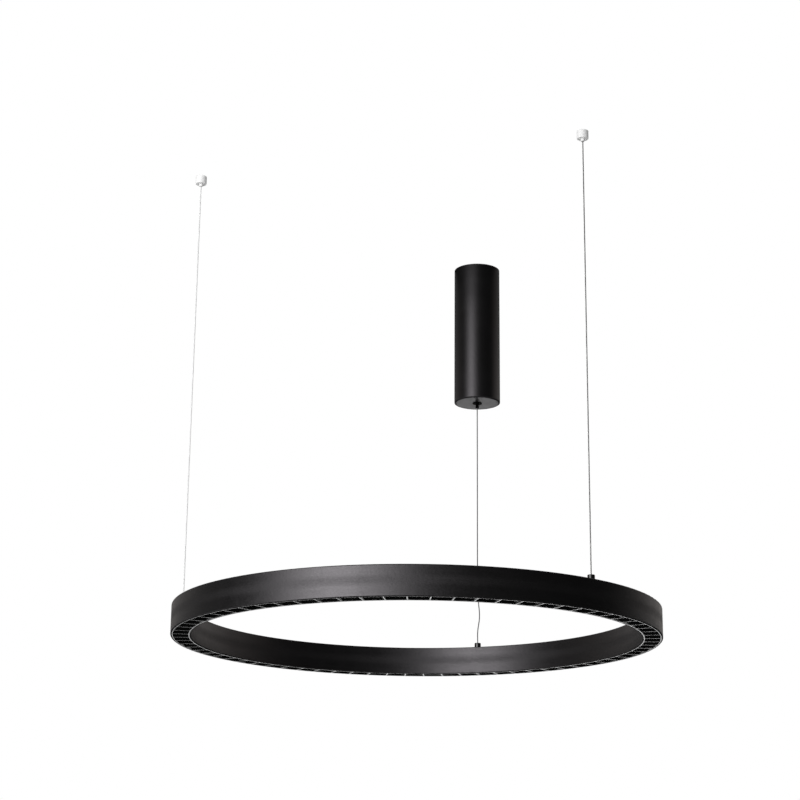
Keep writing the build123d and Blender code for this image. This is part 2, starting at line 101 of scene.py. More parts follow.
class Slot(str, Enum):
    """The record's material slots, named when new pieces are settled."""

    LOUVRE = "black_louvre"
    FITTING = "black_fitting"
    WIRE = "wire_steel"
    STEEL = "plain_steel"
    PHOSPHOR = "led_phosphor"
    BOARD = "board_white"
    LEAD = "lead_insulation"


def grey(value: float, tint: float = 0.0) -> Colour:
    """Return a grey, a little blue where tint is above 0 and a little warm below it."""
    return (value * (1.0 - tint), value, value * (1.0 + tint), 1.0)


def math_operator(operation: str, swapped: bool = False) -> Callable[["Sock", "Sock | float"], "Sock"]:
    """Make a method that joins a socket and a value with a Math node.

    Args:
        operation: The node's operation.
        swapped: Whether the value comes before the socket.

    Returns:
        The method.
    """

    def joined(sock: "Sock", other: "Sock | float") -> "Sock":
        """Return the output of the node that joins the two."""
        return sock.math(operation, *((other, sock) if swapped else (sock, other)))

    return joined


class Sock:
    """An output socket of a shader tree, on which Python's operators add Math nodes."""

    def __init__(self, tree: "ShaderTree", socket: bpy.types.NodeSocket) -> None:
        """Remember the tree and the socket."""
        self.tree = tree
        self.socket = socket

    def math(self, operation: str, *values: "Sock | float") -> "Sock":
        """Add a Math node.

        Args:
            operation: The node's operation.
            values: Its inputs, in order.

        Returns:
            The node's output.
        """
        return self.tree.add("ShaderNodeMath", dict(enumerate(values)), operation=operation)["Value"]

    __add__ = math_operator("ADD")
    __radd__ = math_operator("ADD", swapped=True)
    __sub__ = math_operator("SUBTRACT")
    __rsub__ = math_operator("SUBTRACT", swapped=True)
    __mul__ = math_operator("MULTIPLY")
    __rmul__ = math_operator("MULTIPLY", swapped=True)
    maximum = math_operator("MAXIMUM")

    def __abs__(self) -> "Sock":
        """Return the absolute value."""
        return self.math("ABSOLUTE", self)

    def ramp(self, low: float, high: float) -> "Sock":
        """Return a smooth step from 0 at low to 1 at high."""
        inputs = {"Value": self, "From Min": low, "From Max": high}
        return self.tree.add("ShaderNodeMapRange", inputs, interpolation_type="SMOOTHSTEP")["Result"]

    def fall(self, low: float, high: float) -> "Sock":
        """Return a smooth step from 1 at low to 0 at high."""
        return 1.0 - self.ramp(low, high)

    def blend(self, other: "Sock", share: float) -> "Sock":
        """Return a share of self and the rest of other."""
        return self * share + other * (1.0 - share)


class NodeOut:
    """A node whose outputs are read by name or place."""

    def __init__(self, tree: "ShaderTree", node: bpy.types.Node) -> None:
        """Remember the tree and the node."""
        self.tree = tree
        self.node = node

    def __getitem__(self, key: str | int) -> Sock:
        """Return one output."""
        return Sock(self.tree, self.node.outputs[key])


class NodeTree:
    """A node tree that one generic method fills."""

    def __init__(self, tree: bpy.types.NodeTree) -> None:
        """Remember the tree's nodes and links."""
        self.nodes = tree.nodes
        self.links = tree.links

    def node(self, kind: str, inputs: dict[Any, Any] | None, settings: dict[str, Any]) -> bpy.types.Node:
        """Add a node.

        Args:
            kind: The node's type.
            inputs: Values or sockets, wrapped or plain, by socket name or place.
            settings: Its properties, set before its sockets.

        Returns:
            The node.
        """
        node = self.nodes.new(kind)
        for name, value in settings.items():
            setattr(node, name, value)
        for key, value in (inputs or {}).items():
            value = getattr(value, "socket", value)
            if isinstance(value, bpy.types.NodeSocket):
                self.links.new(value, node.inputs[key])
            else:
                node.inputs[key].default_value = value
        return node


class ShaderTree(NodeTree):
    """The node tree of a material, world or light, whose outputs come back as wrapped sockets."""

    def __init__(self, owner: bpy.types.Material | bpy.types.World | bpy.types.Light) -> None:
        """Empty the owner's tree.

        Args:
            owner: The material, world or light to fill.
        """
        owner.use_nodes = True
        super().__init__(owner.node_tree)
        self.nodes.clear()

    def add(self, kind: str, inputs: dict[Any, Any] | None = None, **settings: Any) -> NodeOut:
        """Add a node and return it, ready to have its outputs read."""
        return NodeOut(self, self.node(kind, inputs, settings))

    def noise(self, point: Sock, size: float, detail: float = 2.0, squeeze: Point = EVEN) -> Sock:
        """Add a noise whose features are about one size across.

        Args:
            point: The point to read it at.
            size: The features' size in metres.
            detail: The noise's detail.
            squeeze: How far the point is scaled along each axis first.

        Returns:
            The noise, from 0 to 1.
        """
        scaled = self.add("ShaderNodeMapping", {"Vector": point, "Scale": squeeze})["Vector"]
        inputs = {"Vector": scaled, "Scale": 1.0 / size, "Detail": detail}
        return self.add("ShaderNodeTexNoise", inputs)["Fac"]

    def mix(self, factor: Sock, first: Colour, second: Colour) -> Sock:
        """Mix two colours by a factor."""
        inputs = {0: factor, MIX_FIRST: first, MIX_SECOND: second}
        return self.add("ShaderNodeMix", inputs, data_type="RGBA")[MIX_RESULT]

    def object_point(self) -> Sock:
        """Return the point of the surface in the part's own frame."""
        return self.add("ShaderNodeTexCoord")["Object"]

    def split(self, vector: Sock) -> NodeOut:
        """Return a vector's three numbers, by name."""
        return self.add("ShaderNodeSeparateXYZ", {"Vector": vector})

    def measure(self, operation: str, *vectors: Any) -> Sock:
        """Return the number that a Vector Math node gives."""
        return self.add("ShaderNodeVectorMath", dict(enumerate(vectors)), operation=operation)["Value"]

    def bump(self, height: Sock, depth: float) -> Sock:
        """Return a normal that is raised by a height of 0 to 1 times a depth in metres."""
        return self.add("ShaderNodeBump", {"Height": height, "Distance": depth, "Strength": 1.0})["Normal"]

    def choose(self, share: Sock, first: Sock, second: Sock) -> Sock:
        """Mix two shaders by the second's share."""
        return self.add("ShaderNodeMixShader", {0: share, 1: first, 2: second})["Shader"]

    def close(self, kind: str, shader: Sock) -> None:
        """End the tree in the output of a Material, World or Light."""
        self.add(f"ShaderNodeOutput{kind}", {"Surface": shader})

    def surface(self, inputs: dict[str, Any]) -> None:
        """End a material's tree with a Principled shader."""
        self.close("Material", self.add("ShaderNodeBsdfPrincipled", inputs)["BSDF"])


def new_tree(name: str) -> tuple[bpy.types.Material, ShaderTree]:
    """Make an empty material.

    Args:
        name: The material's name.

    Returns:
        The material and its tree.
    """
    material = bpy.data.materials.new(name)
    return material, ShaderTree(material)


@dataclass(frozen=True)
class Finish:
    """A finish that is one Principled shader."""

    name: str

    def inputs(self, tree: ShaderTree, point: Sock) -> dict[str, Any]:
        """Return the shader's inputs.

        Args:
            tree: The material's tree.
            point: The point of the surface in the part's own frame.

        Returns:
            Values or sockets by the inputs' names.
        """
        raise NotImplementedError

    def material(self) -> bpy.types.Material:
        """Make the finish's material.

        Returns:
            The material.
        """
        material, tree = new_tree(self.name)
        tree.surface(self.inputs(tree, tree.object_point()))
        return material


@dataclass(frozen=True)
class TwoTone(Finish):
    """A finish whose colour goes between two tones."""

    dark: Colour
    light: Colour


@dataclass(frozen=True)
class PowderCoat(TwoTone):
    """Satin black powder coat: fine peel, drawn streaks, a duller line along a web and a matt lower lip."""

    roughness: float
    specular: float = 0.75
    sheen: Colour = (1.0, 0.95, 1.0, 1.0)
    drift: float = 0.08
    mottle: float = 0.0
    cloud: float = 20 * MM
    streak: float = 1.6 * MM
    streak_squeeze: Point = (0.03, 0.03, 1.0)
    wave: float = 4 * MM
    peel: float = 0.8 * MM
    grain: float = 0.16 * MM
    depth: float = 0.012 * MM
    wave_gain: float = 5.0
    peel_gain: float = 0.6
    grain_gain: float = 0.4
    dull_z: float = 0.0
    dull_half: float = 0.0
    dull_core: float = 0.15
    dull_gain: float = 0.1
    lip_z: float = 0.0
    lip_rise: float = 0.0
    lip_gain: float = 0.6

    def inputs(self, tree: ShaderTree, point: Sock) -> dict[str, Any]:
        """Return the shader's inputs.

        Args:
            tree: The material's tree.
            point: The point of the surface in the part's own frame.

        Returns:
            Values or sockets by the inputs' names.
        """
        cloud = tree.noise(point, self.cloud)
        streak = tree.noise(point, self.streak, squeeze=self.streak_squeeze)
        wave = tree.noise(point, self.wave, detail=1.0)
        peel = tree.noise(point, self.peel, detail=1.0)
        grain = tree.noise(point, self.grain, detail=0.0)
        spread = cloud + streak + grain * HALF - HALF * (2.0 + HALF)
        rough = self.roughness + spread * self.drift
        if self.mottle:
            rough = rough + (peel - HALF) * self.mottle
        if self.dull_half:
            away = abs(tree.split(point)["Z"] - self.dull_z)
            rough = rough + away.fall(self.dull_half * self.dull_core, self.dull_half) * self.dull_gain
        if self.lip_rise:
            rise = tree.split(point)["Z"] - self.lip_z
            rough = rough + rise.fall(self.lip_rise * HALF, self.lip_rise) * self.lip_gain
        relief = wave * self.wave_gain + peel * self.peel_gain + grain * self.grain_gain
        return {
            "Base Color": tree.mix(cloud.blend(grain, HALF), self.dark, self.light),
            "Roughness": rough,
            "Specular IOR Level": self.specular,
            "Specular Tint": self.sheen,
            "Normal": tree.bump(relief, self.depth),
        }


@dataclass(frozen=True)
class GlossMoulding(TwoTone):
    """Glossy black moulding: bright at its face, a little duller up inside the cells."""

    face_z: float
    fade: Span = (0.8 * MM, 4 * MM)
    roughness: float = 0.16
    inner_roughness: float = 0.34
    drift: float = 0.06
    flow: float = 6 * MM
    speck: float = 0.25 * MM
    depth: float = 0.006 * MM

    def inputs(self, tree: ShaderTree, point: Sock) -> dict[str, Any]:
        """Return the shader's inputs.

        Args:
            tree: The material's tree.
            point: The point of the surface in the part's own frame.

        Returns:
            Values or sockets by the inputs' names.
        """
        inside = tree.split(point)["Z"].ramp(self.face_z + self.fade[0], self.face_z + self.fade[1])
        flow = tree.noise(point, self.flow)
        speck = tree.noise(point, self.speck, detail=0.0)
        rough = self.roughness + inside * (self.inner_roughness - self.roughness)
        return {
            "Base Color": tree.mix(flow, self.dark, self.light),
            "Roughness": rough + (flow - HALF) * self.drift,
            "Normal": tree.bump(flow.blend(speck, HALF), self.depth),
        }


@dataclass(frozen=True)
class BlackPlating(TwoTone):
    """Turned and black plated metal: glossy, with fine lathe marks round its axis."""

    roughness: float = 0.14
    drift: float = 0.08
    metallic: float = 0.35
    coat: float = 0.6
    coat_roughness: float = 0.06
    cloud: float = 3 * MM
    pitch: float = 0.22 * MM
    squeeze: Point = (0.02, 0.02, 1.0)
    depth: float = 0.003 * MM

    def inputs(self, tree: ShaderTree, point: Sock) -> dict[str, Any]:
        """Return the shader's inputs.

        Args:
            tree: The material's tree.
            point: The point of the surface in the part's own frame.

        Returns:
            Values or sockets by the inputs' names.
        """
        marks = tree.noise(point, self.pitch, squeeze=self.squeeze)
        return {
            "Base Color": tree.mix(tree.noise(point, self.cloud), self.dark, self.light),
            "Metallic": self.metallic,
            "Roughness": self.roughness + (marks - HALF) * self.drift,
            "Coat Weight": self.coat,
            "Coat Roughness": self.coat_roughness,
            "Normal": tree.bump(marks, self.depth),
        }


@dataclass(frozen=True)
class DrawnSteel(TwoTone):
    """Drawn steel of the wire's strands, with scratches along them."""

    roughness: float = 0.3
    metallic: float = 0.9
    drift: float = 0.16
    scratch: float = 0.12 * MM
    squeeze: Point = (1.0, 1.0, 0.08)
    patch: float = 9 * MM
    scratch_share: float = 0.6

    def inputs(self, tree: ShaderTree, point: Sock) -> dict[str, Any]:
        """Return the shader's inputs.

        Args:
            tree: The material's tree.
            point: The point of the surface in the part's own frame.

        Returns:
            Values or sockets by the inputs' names.
        """
        drawn = tree.noise(point, self.scratch, squeeze=self.squeeze)
        patch = tree.noise(point, self.patch)
        return {
            "Base Color": tree.mix(drawn.blend(patch, self.scratch_share), self.dark, self.light),
            "Metallic": self.metallic,
            "Roughness": self.roughness + (drawn - HALF) * self.drift,
        }


@dataclass(frozen=True)
class ClearJacket(Finish):
    """Clear plastic drawn over a wire, faintly milky and scuffed."""

    colour: Colour
    alpha: float
    alpha_drift: float = 0.1
    roughness: float = 0.12
    gain: float = 0.2
    scuff: float = 1.5 * MM
    detail: float = 3.0
    squeeze: Point = (1.0, 1.0, 0.25)

    def inputs(self, tree: ShaderTree, point: Sock) -> dict[str, Any]:
        """Return the shader's inputs.

        Args:
            tree: The material's tree.
            point: The point of the surface in the part's own frame.

        Returns:
            Values or sockets by the inputs' names.
        """
        scuff = tree.noise(point, self.scuff, self.detail, self.squeeze)
        return {
            "Base Color": self.colour,
            "Roughness": self.roughness + scuff * self.gain,
            "Alpha": self.alpha + (scuff - HALF) * self.alpha_drift,
        }


@dataclass(frozen=True)
class ZincSheet(TwoTone):
    """Zinc plated sheet with its spangle and rolling lines."""

    roughness: float = 0.28
    flake_gain: float = 0.14
    line_gain: float = 0.08
    flake_share: float = 0.7
    spangle: float = 5 * MM
    line: float = 0.3 * MM
    squeeze: Point = (1.0, 1.0, 0.05)
    depth: float = 0.004 * MM

    def inputs(self, tree: ShaderTree, point: Sock) -> dict[str, Any]:
        """Return the shader's inputs.

        Args:
            tree: The material's tree.
            point: The point of the surface in the part's own frame.

        Returns:
            Values or sockets by the inputs' names.
        """
        cells = tree.add("ShaderNodeTexVoronoi", {"Vector": point, "Scale": 1.0 / self.spangle})["Color"]
        flake = tree.split(cells)["X"]
        lines = tree.noise(point, self.line, squeeze=self.squeeze)
        return {
            "Base Color": tree.mix(flake.blend(lines, self.flake_share), self.dark, self.light),
            "Metallic": 1.0,
            "Roughness": self.roughness + flake * self.flake_gain + lines * self.line_gain,
            "Normal": tree.bump(lines, self.depth),
        }


@dataclass(frozen=True)
class Grained(TwoTone):
    """One fine grain in colour, gloss and relief: milled metal, phosphor gel or a lead's insulation."""

    grain: float
    roughness: float
    gain: float
    detail: float = 2.0
    squeeze: Point = EVEN
    metallic: float = 0.0
    coat: float = 0.0
    depth: float = 0.0

    def inputs(self, tree: ShaderTree, point: Sock) -> dict[str, Any]:
        """Return the shader's inputs.

        Args:
            tree: The material's tree.
            point: The point of the surface in the part's own frame.

        Returns:
            Values or sockets by the inputs' names.
        """
        grain = tree.noise(point, self.grain, self.detail, self.squeeze)
        inputs = {
            "Base Color": tree.mix(grain, self.dark, self.light),
            "Metallic": self.metallic,
            "Roughness": self.roughness + grain * self.gain,
            "Coat Weight": self.coat,
        }
        if self.depth:
            inputs["Normal"] = tree.bump(grain, self.depth)
        return inputs


@dataclass(frozen=True)
class SolderMask(TwoTone):
    """White board with two copper tracks raised under its mask, along the ring."""

    track_offset: float = 4.6 * MM
    track_half: float = 0.9 * MM
    track_edge: float = 0.15 * MM
    track_share: float = 0.6
    weave: float = 0.5 * MM
    weave_rise: float = 0.1
    roughness: float = 0.34
    gain: float = 0.1
    depth: float = 0.035 * MM

    def inputs(self, tree: ShaderTree, point: Sock) -> dict[str, Any]:
        """Return the shader's inputs.

        Args:
            tree: The material's tree.
            point: The point of the surface in the part's own frame.

        Returns:
            Values or sockets by the inputs' names.
        """
        from_axis = {"Vector": point, "Location": (0, -RING_AXIS_Y, 0), "Scale": (1, 1, 0)}
        length = tree.measure("LENGTH", tree.add("ShaderNodeMapping", from_axis)["Vector"])
        off_track = abs(abs(length - RING_RADIUS) - self.track_offset)
        track = off_track.fall(self.track_half, self.track_half + self.track_edge)
        weave = tree.noise(point, self.weave)
        return {
            "Base Color": tree.mix(track.blend(weave, self.track_share), self.light, self.dark),
            "Roughness": self.roughness + weave * self.gain,
            "Normal": tree.bump(track + weave * self.weave_rise, self.depth),
        }


@dataclass(frozen=True)
class PlainMoulding(TwoTone):
    """Pale moulded plastic with a fine eroded skin, and a parting line where it has one."""

    roughness: float = 0.42
    drift: float = 0.12
    skin: float = 0.35 * MM
    cloud: float = 12 * MM
    cloud_share: float = 0.7
    depth: float = 0.01 * MM
    seam_z: float = 0.0
    seam_half: float = 0.0
    seam_core: float = 0.6
    seam_depth: float = 12.0

    def inputs(self, tree: ShaderTree, point: Sock) -> dict[str, Any]:
        """Return the shader's inputs.

        Args:
            tree: The material's tree.
            point: The point of the surface in the part's own frame.

        Returns:
            Values or sockets by the inputs' names.
        """
        skin = tree.noise(point, self.skin)
        shade = tree.noise(point, self.cloud).blend(skin, self.cloud_share)
        height = skin
        if self.seam_half:
            away = abs(tree.split(point)["Z"] - self.seam_z)
            seam = away.fall(self.seam_half * self.seam_core, self.seam_half)
            shade = (shade * HALF + seam).maximum(shade)
            height = skin - seam * self.seam_depth
        return {
            "Base Color": tree.mix(shade, self.light, self.dark),
            "Roughness": self.roughness + (skin - HALF) * self.drift,
            "Normal": tree.bump(height, self.depth),
        }


@dataclass(frozen=True)
class PaleFloor(Finish):
    """Pale floor: white to the camera but for a trace of shadow, clear from below, dim where mirrored."""

    colour: Colour = (0.9, 0.9, 0.9, 1.0)
    mirrored: Colour = (0.07, 0.07, 0.07, 1.0)
    kept_shadow: float = 0.15
    whitens: Span = (0.5, 1.35)

    def material(self) -> bpy.types.Material:
        """Make the finish's material.

        Returns:
            The material.
        """
        material, tree = new_tree(self.name)
        rays = tree.add("ShaderNodeLightPath")
        colour = tree.mix(rays["Is Glossy Ray"], self.colour, self.mirrored)
        matt = tree.add("ShaderNodeBsdfDiffuse", {"Color": colour})["BSDF"]
        white = tree.add("ShaderNodeEmission", {"Color": WHITE, "Strength": 1.0})["Emission"]
        away = tree.measure("LENGTH", tree.object_point())
        share = rays["Is Camera Ray"] * (1.0 - away.fall(*self.whitens) * self.kept_shadow)
        clear = tree.add("ShaderNodeBsdfTransparent")["BSDF"]
        under = tree.add("ShaderNodeNewGeometry")["Backfacing"]
        tree.close("Material", tree.choose(under, tree.choose(share, matt, white), clear))
        return material


class GeometryTree(NodeTree):
    """A Geometry Nodes tree with named inputs, made once and used on several pieces."""

    def __init__(self, name: str, inputs: dict[str, str]) -> None:
        """Make an empty tree.

        Args:
            name: The tree's name.
            inputs: Kinds of socket by the inputs' names, after the geometry.
        """
        self.group = bpy.data.node_groups.new(name, "GeometryNodeTree")
        super().__init__(self.group)
        self._socket("Geometry", "INPUT", "Geometry")
        self.ids = {key: self._socket(key, "INPUT", kind) for key, kind in inputs.items()}
        self._socket("Geometry", "OUTPUT", "Geometry")
        self.start = self.nodes.new("NodeGroupInput")
        self.end = self.nodes.new("NodeGroupOutput")

    def _socket(self, name: str, way: str, kind: str) -> str:
        """Add a socket to the tree's interface and return its identifier."""
        socket_type = f"NodeSocket{kind}"
        return self.group.interface.new_socket(name=name, in_out=way, socket_type=socket_type).identifier

    def input(self, name: str) -> bpy.types.NodeSocket:
        """Return one of the tree's inputs."""
        return self.start.outputs[name]

    def add(self, kind: str, inputs: dict[Any, Any] | None = None, **settings: Any) -> Any:
        """Add a node and return its outputs."""
        return self.node(kind, inputs, settings).outputs

    def math(self, operation: str, *values: Any) -> bpy.types.NodeSocket:
        """Add a Math node and return its output."""
        return self.add("ShaderNodeMath", dict(enumerate(values)), operation=operation)["Value"]

    def vector(self, operation: str, inputs: dict[Any, Any]) -> bpy.types.NodeSocket:
        """Add a Vector Math node and return the vector that it gives."""
        return self.add("ShaderNodeVectorMath", inputs, operation=operation)["Vector"]

    def close(self, geometry: bpy.types.NodeSocket) -> None:
        """Realise the geometry, give it the tree's material and end the tree.

        Args:
            geometry: The geometry that the tree made.
        """
        real = self.add("GeometryNodeRealizeInstances", {"Geometry": geometry})["Geometry"]
        dressing = {"Geometry": real, "Material": self.input("Material")}
        dressed = self.add("GeometryNodeSetMaterial", dressing)["Geometry"]
        self.links.new(dressed, self.end.inputs["Geometry"])

    def run(self, name: str, source: bpy.types.Mesh, values: dict[str, Any]) -> bpy.types.Object:
        """Run the tree on a mesh and keep its result as a plain mesh.

        Args:
            name: The new object's name.
            source: The mesh that goes in.
            values: The named inputs.

        Returns:
            The object, with no modifier left on it.
        """
        piece = bpy.data.objects.new(name, source)
        bpy.context.scene.collection.objects.link(piece)
        modifier = piece.modifiers.new("nodes", "NODES")
        modifier.node_group = self.group
        for key, value in values.items():
            modifier[self.ids[key]] = value
        graph = bpy.context.evaluated_depsgraph_get()
        made = bpy.data.meshes.new_from_object(piece.evaluated_get(graph), depsgraph=graph)
        made.name = name
        piece.modifiers.remove(modifier)
        piece.data = made
        return piece


class RoundTree(GeometryTree):
    """A tree that repeats the geometry that goes in round an upright axis."""

    def __init__(self) -> None:
        """Make the tree."""
        numbers = {"Count": "Int", "Step": "Float", "First": "Float", "Weld": "Float"}
        super().__init__("repeat_round_axis", {**numbers, "Axis": "Vector", "Material": "Material"})
        spots = {"Count": self.input("Count"), "Start Location": self.input("Axis"), "Offset": ORIGIN}
        points = self.add("GeometryNodeMeshLine", spots)["Mesh"]
        index = self.add("GeometryNodeInputIndex")["Index"]
        turn = self.math("MULTIPLY_ADD", index, self.input("Step"), self.input("First"))
        rotation = self.add("ShaderNodeCombineXYZ", {"Z": turn})["Vector"]
        copied = {"Points": points, "Instance": self.input("Geometry"), "Rotation": rotation}
        copies = self.add("GeometryNodeInstanceOnPoints", copied)["Instances"]
        real = self.add("GeometryNodeRealizeInstances", {"Geometry": copies})["Geometry"]
        near = {"Geometry": real, "Distance": self.input("Weld")}
        self.close(self.add("GeometryNodeMergeByDistance", near)["Geometry"])

    def repeat(
        self,
        name: str,
        mesh: bpy.types.Mesh,
        material: bpy.types.Material,
        count: int,
        step: float,
        first: float,
        axis: Point = ORIGIN,
        weld: float = 0.0,
    ) -> bpy.types.Object:
        """Repeat a mesh.

        Args:
            name: The new object's name.
            mesh: The mesh, which points away from the axis along X.
            material: Its finish.
            count: How many there are.
            step: The angle from each to the next.
            first: The first one's angle.
            axis: A point of the axis.
            weld: Points nearer than this become one.

        Returns:
            The object.
        """
        values = {"Count": count, "Step": step, "First": first, "Axis": axis, "Weld": weld}
        return self.run(name, mesh, {**values, "Material": material})


class StrandTree(GeometryTree):
    """A tree that lays strands round the line that goes in."""

    def __init__(self) -> None:
        """Make the tree."""
        counts = dict.fromkeys(("Strands", "Sides"), "Int")
        lengths = dict.fromkeys(("Lay", "Offset", "Strand radius", "Step"), "Float")
        super().__init__("laid_strands", {**counts, **lengths, "Material": "Material"})
        line = self.add("GeometryNodeMeshToCurve", {"Mesh": self.input("Geometry")})["Curve"]
        steps = {"Curve": line, "Length": self.input("Step")}
        even = self.add("GeometryNodeResampleCurve", steps, mode="LENGTH")["Curve"]
        amount = {"Geometry": even, "Amount": self.input("Strands")}
        copies = self.add("GeometryNodeDuplicateElements", amount, domain="SPLINE")
        along = self.add("GeometryNodeSplineParameter")["Length"]
        turns = self.math("DIVIDE", along, self.input("Lay"))
        share = self.math("DIVIDE", copies["Duplicate Index"], self.input("Strands"))
        angle = self.math("MULTIPLY", self.math("ADD", turns, share), math.tau)
        normal = self.add("GeometryNodeInputNormal")["Normal"]
        tangent = self.add("GeometryNodeInputTangent")["Tangent"]
        across = self.vector("CROSS_PRODUCT", {0: tangent, 1: normal})
        out = self._swing(normal, "COSINE", angle)
        offset = self.vector("ADD", {0: out, 1: self._swing(across, "SINE", angle)})
        moved = {"Geometry": copies["Geometry"], "Offset": offset}
        laid = self.add("GeometryNodeSetPosition", moved)["Geometry"]
        round_off = {"Resolution": self.input("Sides"), "Radius": self.input("Strand radius")}
        ring = self.add("GeometryNodeCurvePrimitiveCircle", round_off)["Curve"]
        swept = {"Curve": laid, "Profile Curve": ring, "Fill Caps": True}
        self.close(self.add("GeometryNodeCurveToMesh", swept)["Mesh"])

    def _swing(
        self, vector: bpy.types.NodeSocket, wave: str, angle: bpy.types.NodeSocket
    ) -> bpy.types.NodeSocket:
        """Return a vector times the sine or cosine of an angle and the strands' offset."""
        reach = self.math("MULTIPLY", self.math(wave, angle), self.input("Offset"))
        return self.vector("SCALE", {0: vector, "Scale": reach})


def loops_mesh(name: str, loops: Sequence[Sequence[Point]], capped: bool = False) -> bpy.types.Mesh:
    """Join closed loops of points, each to the next, with faces.

    Args:
        name: The mesh's name.
        loops: Loops of the same number of points.
        capped: Whether the first and last loops are closed with faces.

    Returns:
        The mesh.
    """
    count = len(loops[0])
    points = [point for loop in loops for point in loop]
    faces: list[tuple[int, ...]] = []
    for row in range(len(loops) - 1):
        low, high = row * count, (row + 1) * count
        for i in range(count):
            j = (i + 1) % count
            faces.append((low + i, low + j, high + j, high + i))
    if capped:
        faces.append(tuple(reversed(range(count))))
        faces.append(tuple(range(len(points) - count, len(points))))
    mesh = bpy.data.meshes.new(name)
    mesh.from_pydata(points, [], faces)
    return mesh


def tidy_mesh(mesh: bpy.types.Mesh, smooth_deg: float, weld: float = WELD) -> None:
    """Weld a mesh, turn its faces outwards and shade it smooth up to an angle.

    Args:
        mesh: The mesh to change.
        smooth_deg: Edges sharper than this stay sharp.
        weld: Points nearer than this become one.
    """
    work = bmesh.new()
    work.from_mesh(mesh)
    bmesh.ops.remove_doubles(work, verts=work.verts, dist=weld)
    bmesh.ops.recalc_face_normals(work, faces=work.faces)
    work.to_mesh(mesh)
    work.free()
    mesh.shade_smooth()
    mesh.set_sharp_from_angle(angle=math.radians(smooth_deg))


def dress(material: bpy.types.Material, *nodes: str) -> None:
    """Give CAD nodes a material.

    Args:
        material: The material.
        nodes: The nodes' names.
    """
    for name in nodes:
        piece = frame["nodes"][name]
        piece.data.materials.clear()
        piece.data.materials.append(material)
        LOG.info("dressed %s with %s", name, material.name)


def settle(piece: bpy.types.Object, body: Body, slot: Slot, *nodes: str) -> None:
    """Let a new piece ride on a body and stand for CAD nodes.

    Args:
        piece: The piece.
        body: The body that it moves with.
        slot: The record's slot that its finish belongs to; not used.
        nodes: The nodes that it stands for.
    """
    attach(piece, body.value)
    if nodes:
        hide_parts(*nodes)
    faces = len(getattr(piece.data, "polygons", ()))
    LOG.info("built %s on %s with %d faces", piece.name, body.value, faces)


def spline_curve(name: str, route: Sequence[Point]) -> bpy.types.Curve:
    """Make one open smooth spline with a route's points as its control points.

    Args:
        name: The curve's name.
        route: The control points in metres.

    Returns:
        The curve, with no bevel.
    """
    curve = bpy.data.curves.new(name, "CURVE")
    curve.dimensions = "3D"
    spline = curve.splines.new("NURBS")
    spline.points.add(len(route) - 1)
    for point, place in zip(spline.points, route):
        point.co = (*place, 1.0)
    spline.order_u = SPLINE_ORDER
    spline.use_endpoint_u = True
    return curve


def spline_line(name: str, route: Sequence[Point]) -> bpy.types.Mesh:
    """Draw the line that a route's smooth spline follows.

    Args:
        name: The line's name.
        route: The control points in metres.

    Returns:
        The points that the spline goes through, as a mesh of edges.
    """
    holder = bpy.data.objects.new(name, spline_curve(name, route))
    mesh = bpy.data.meshes.new_from_object(holder)
    bpy.data.curves.remove(holder.data)
    return mesh


def line_length(line: bpy.types.Mesh) -> float:
    """Return the length of a line of edges."""
    points = [vertex.co.copy() for vertex in line.vertices]
    return sum((b - a).length for a, b in zip(points, points[1:]))


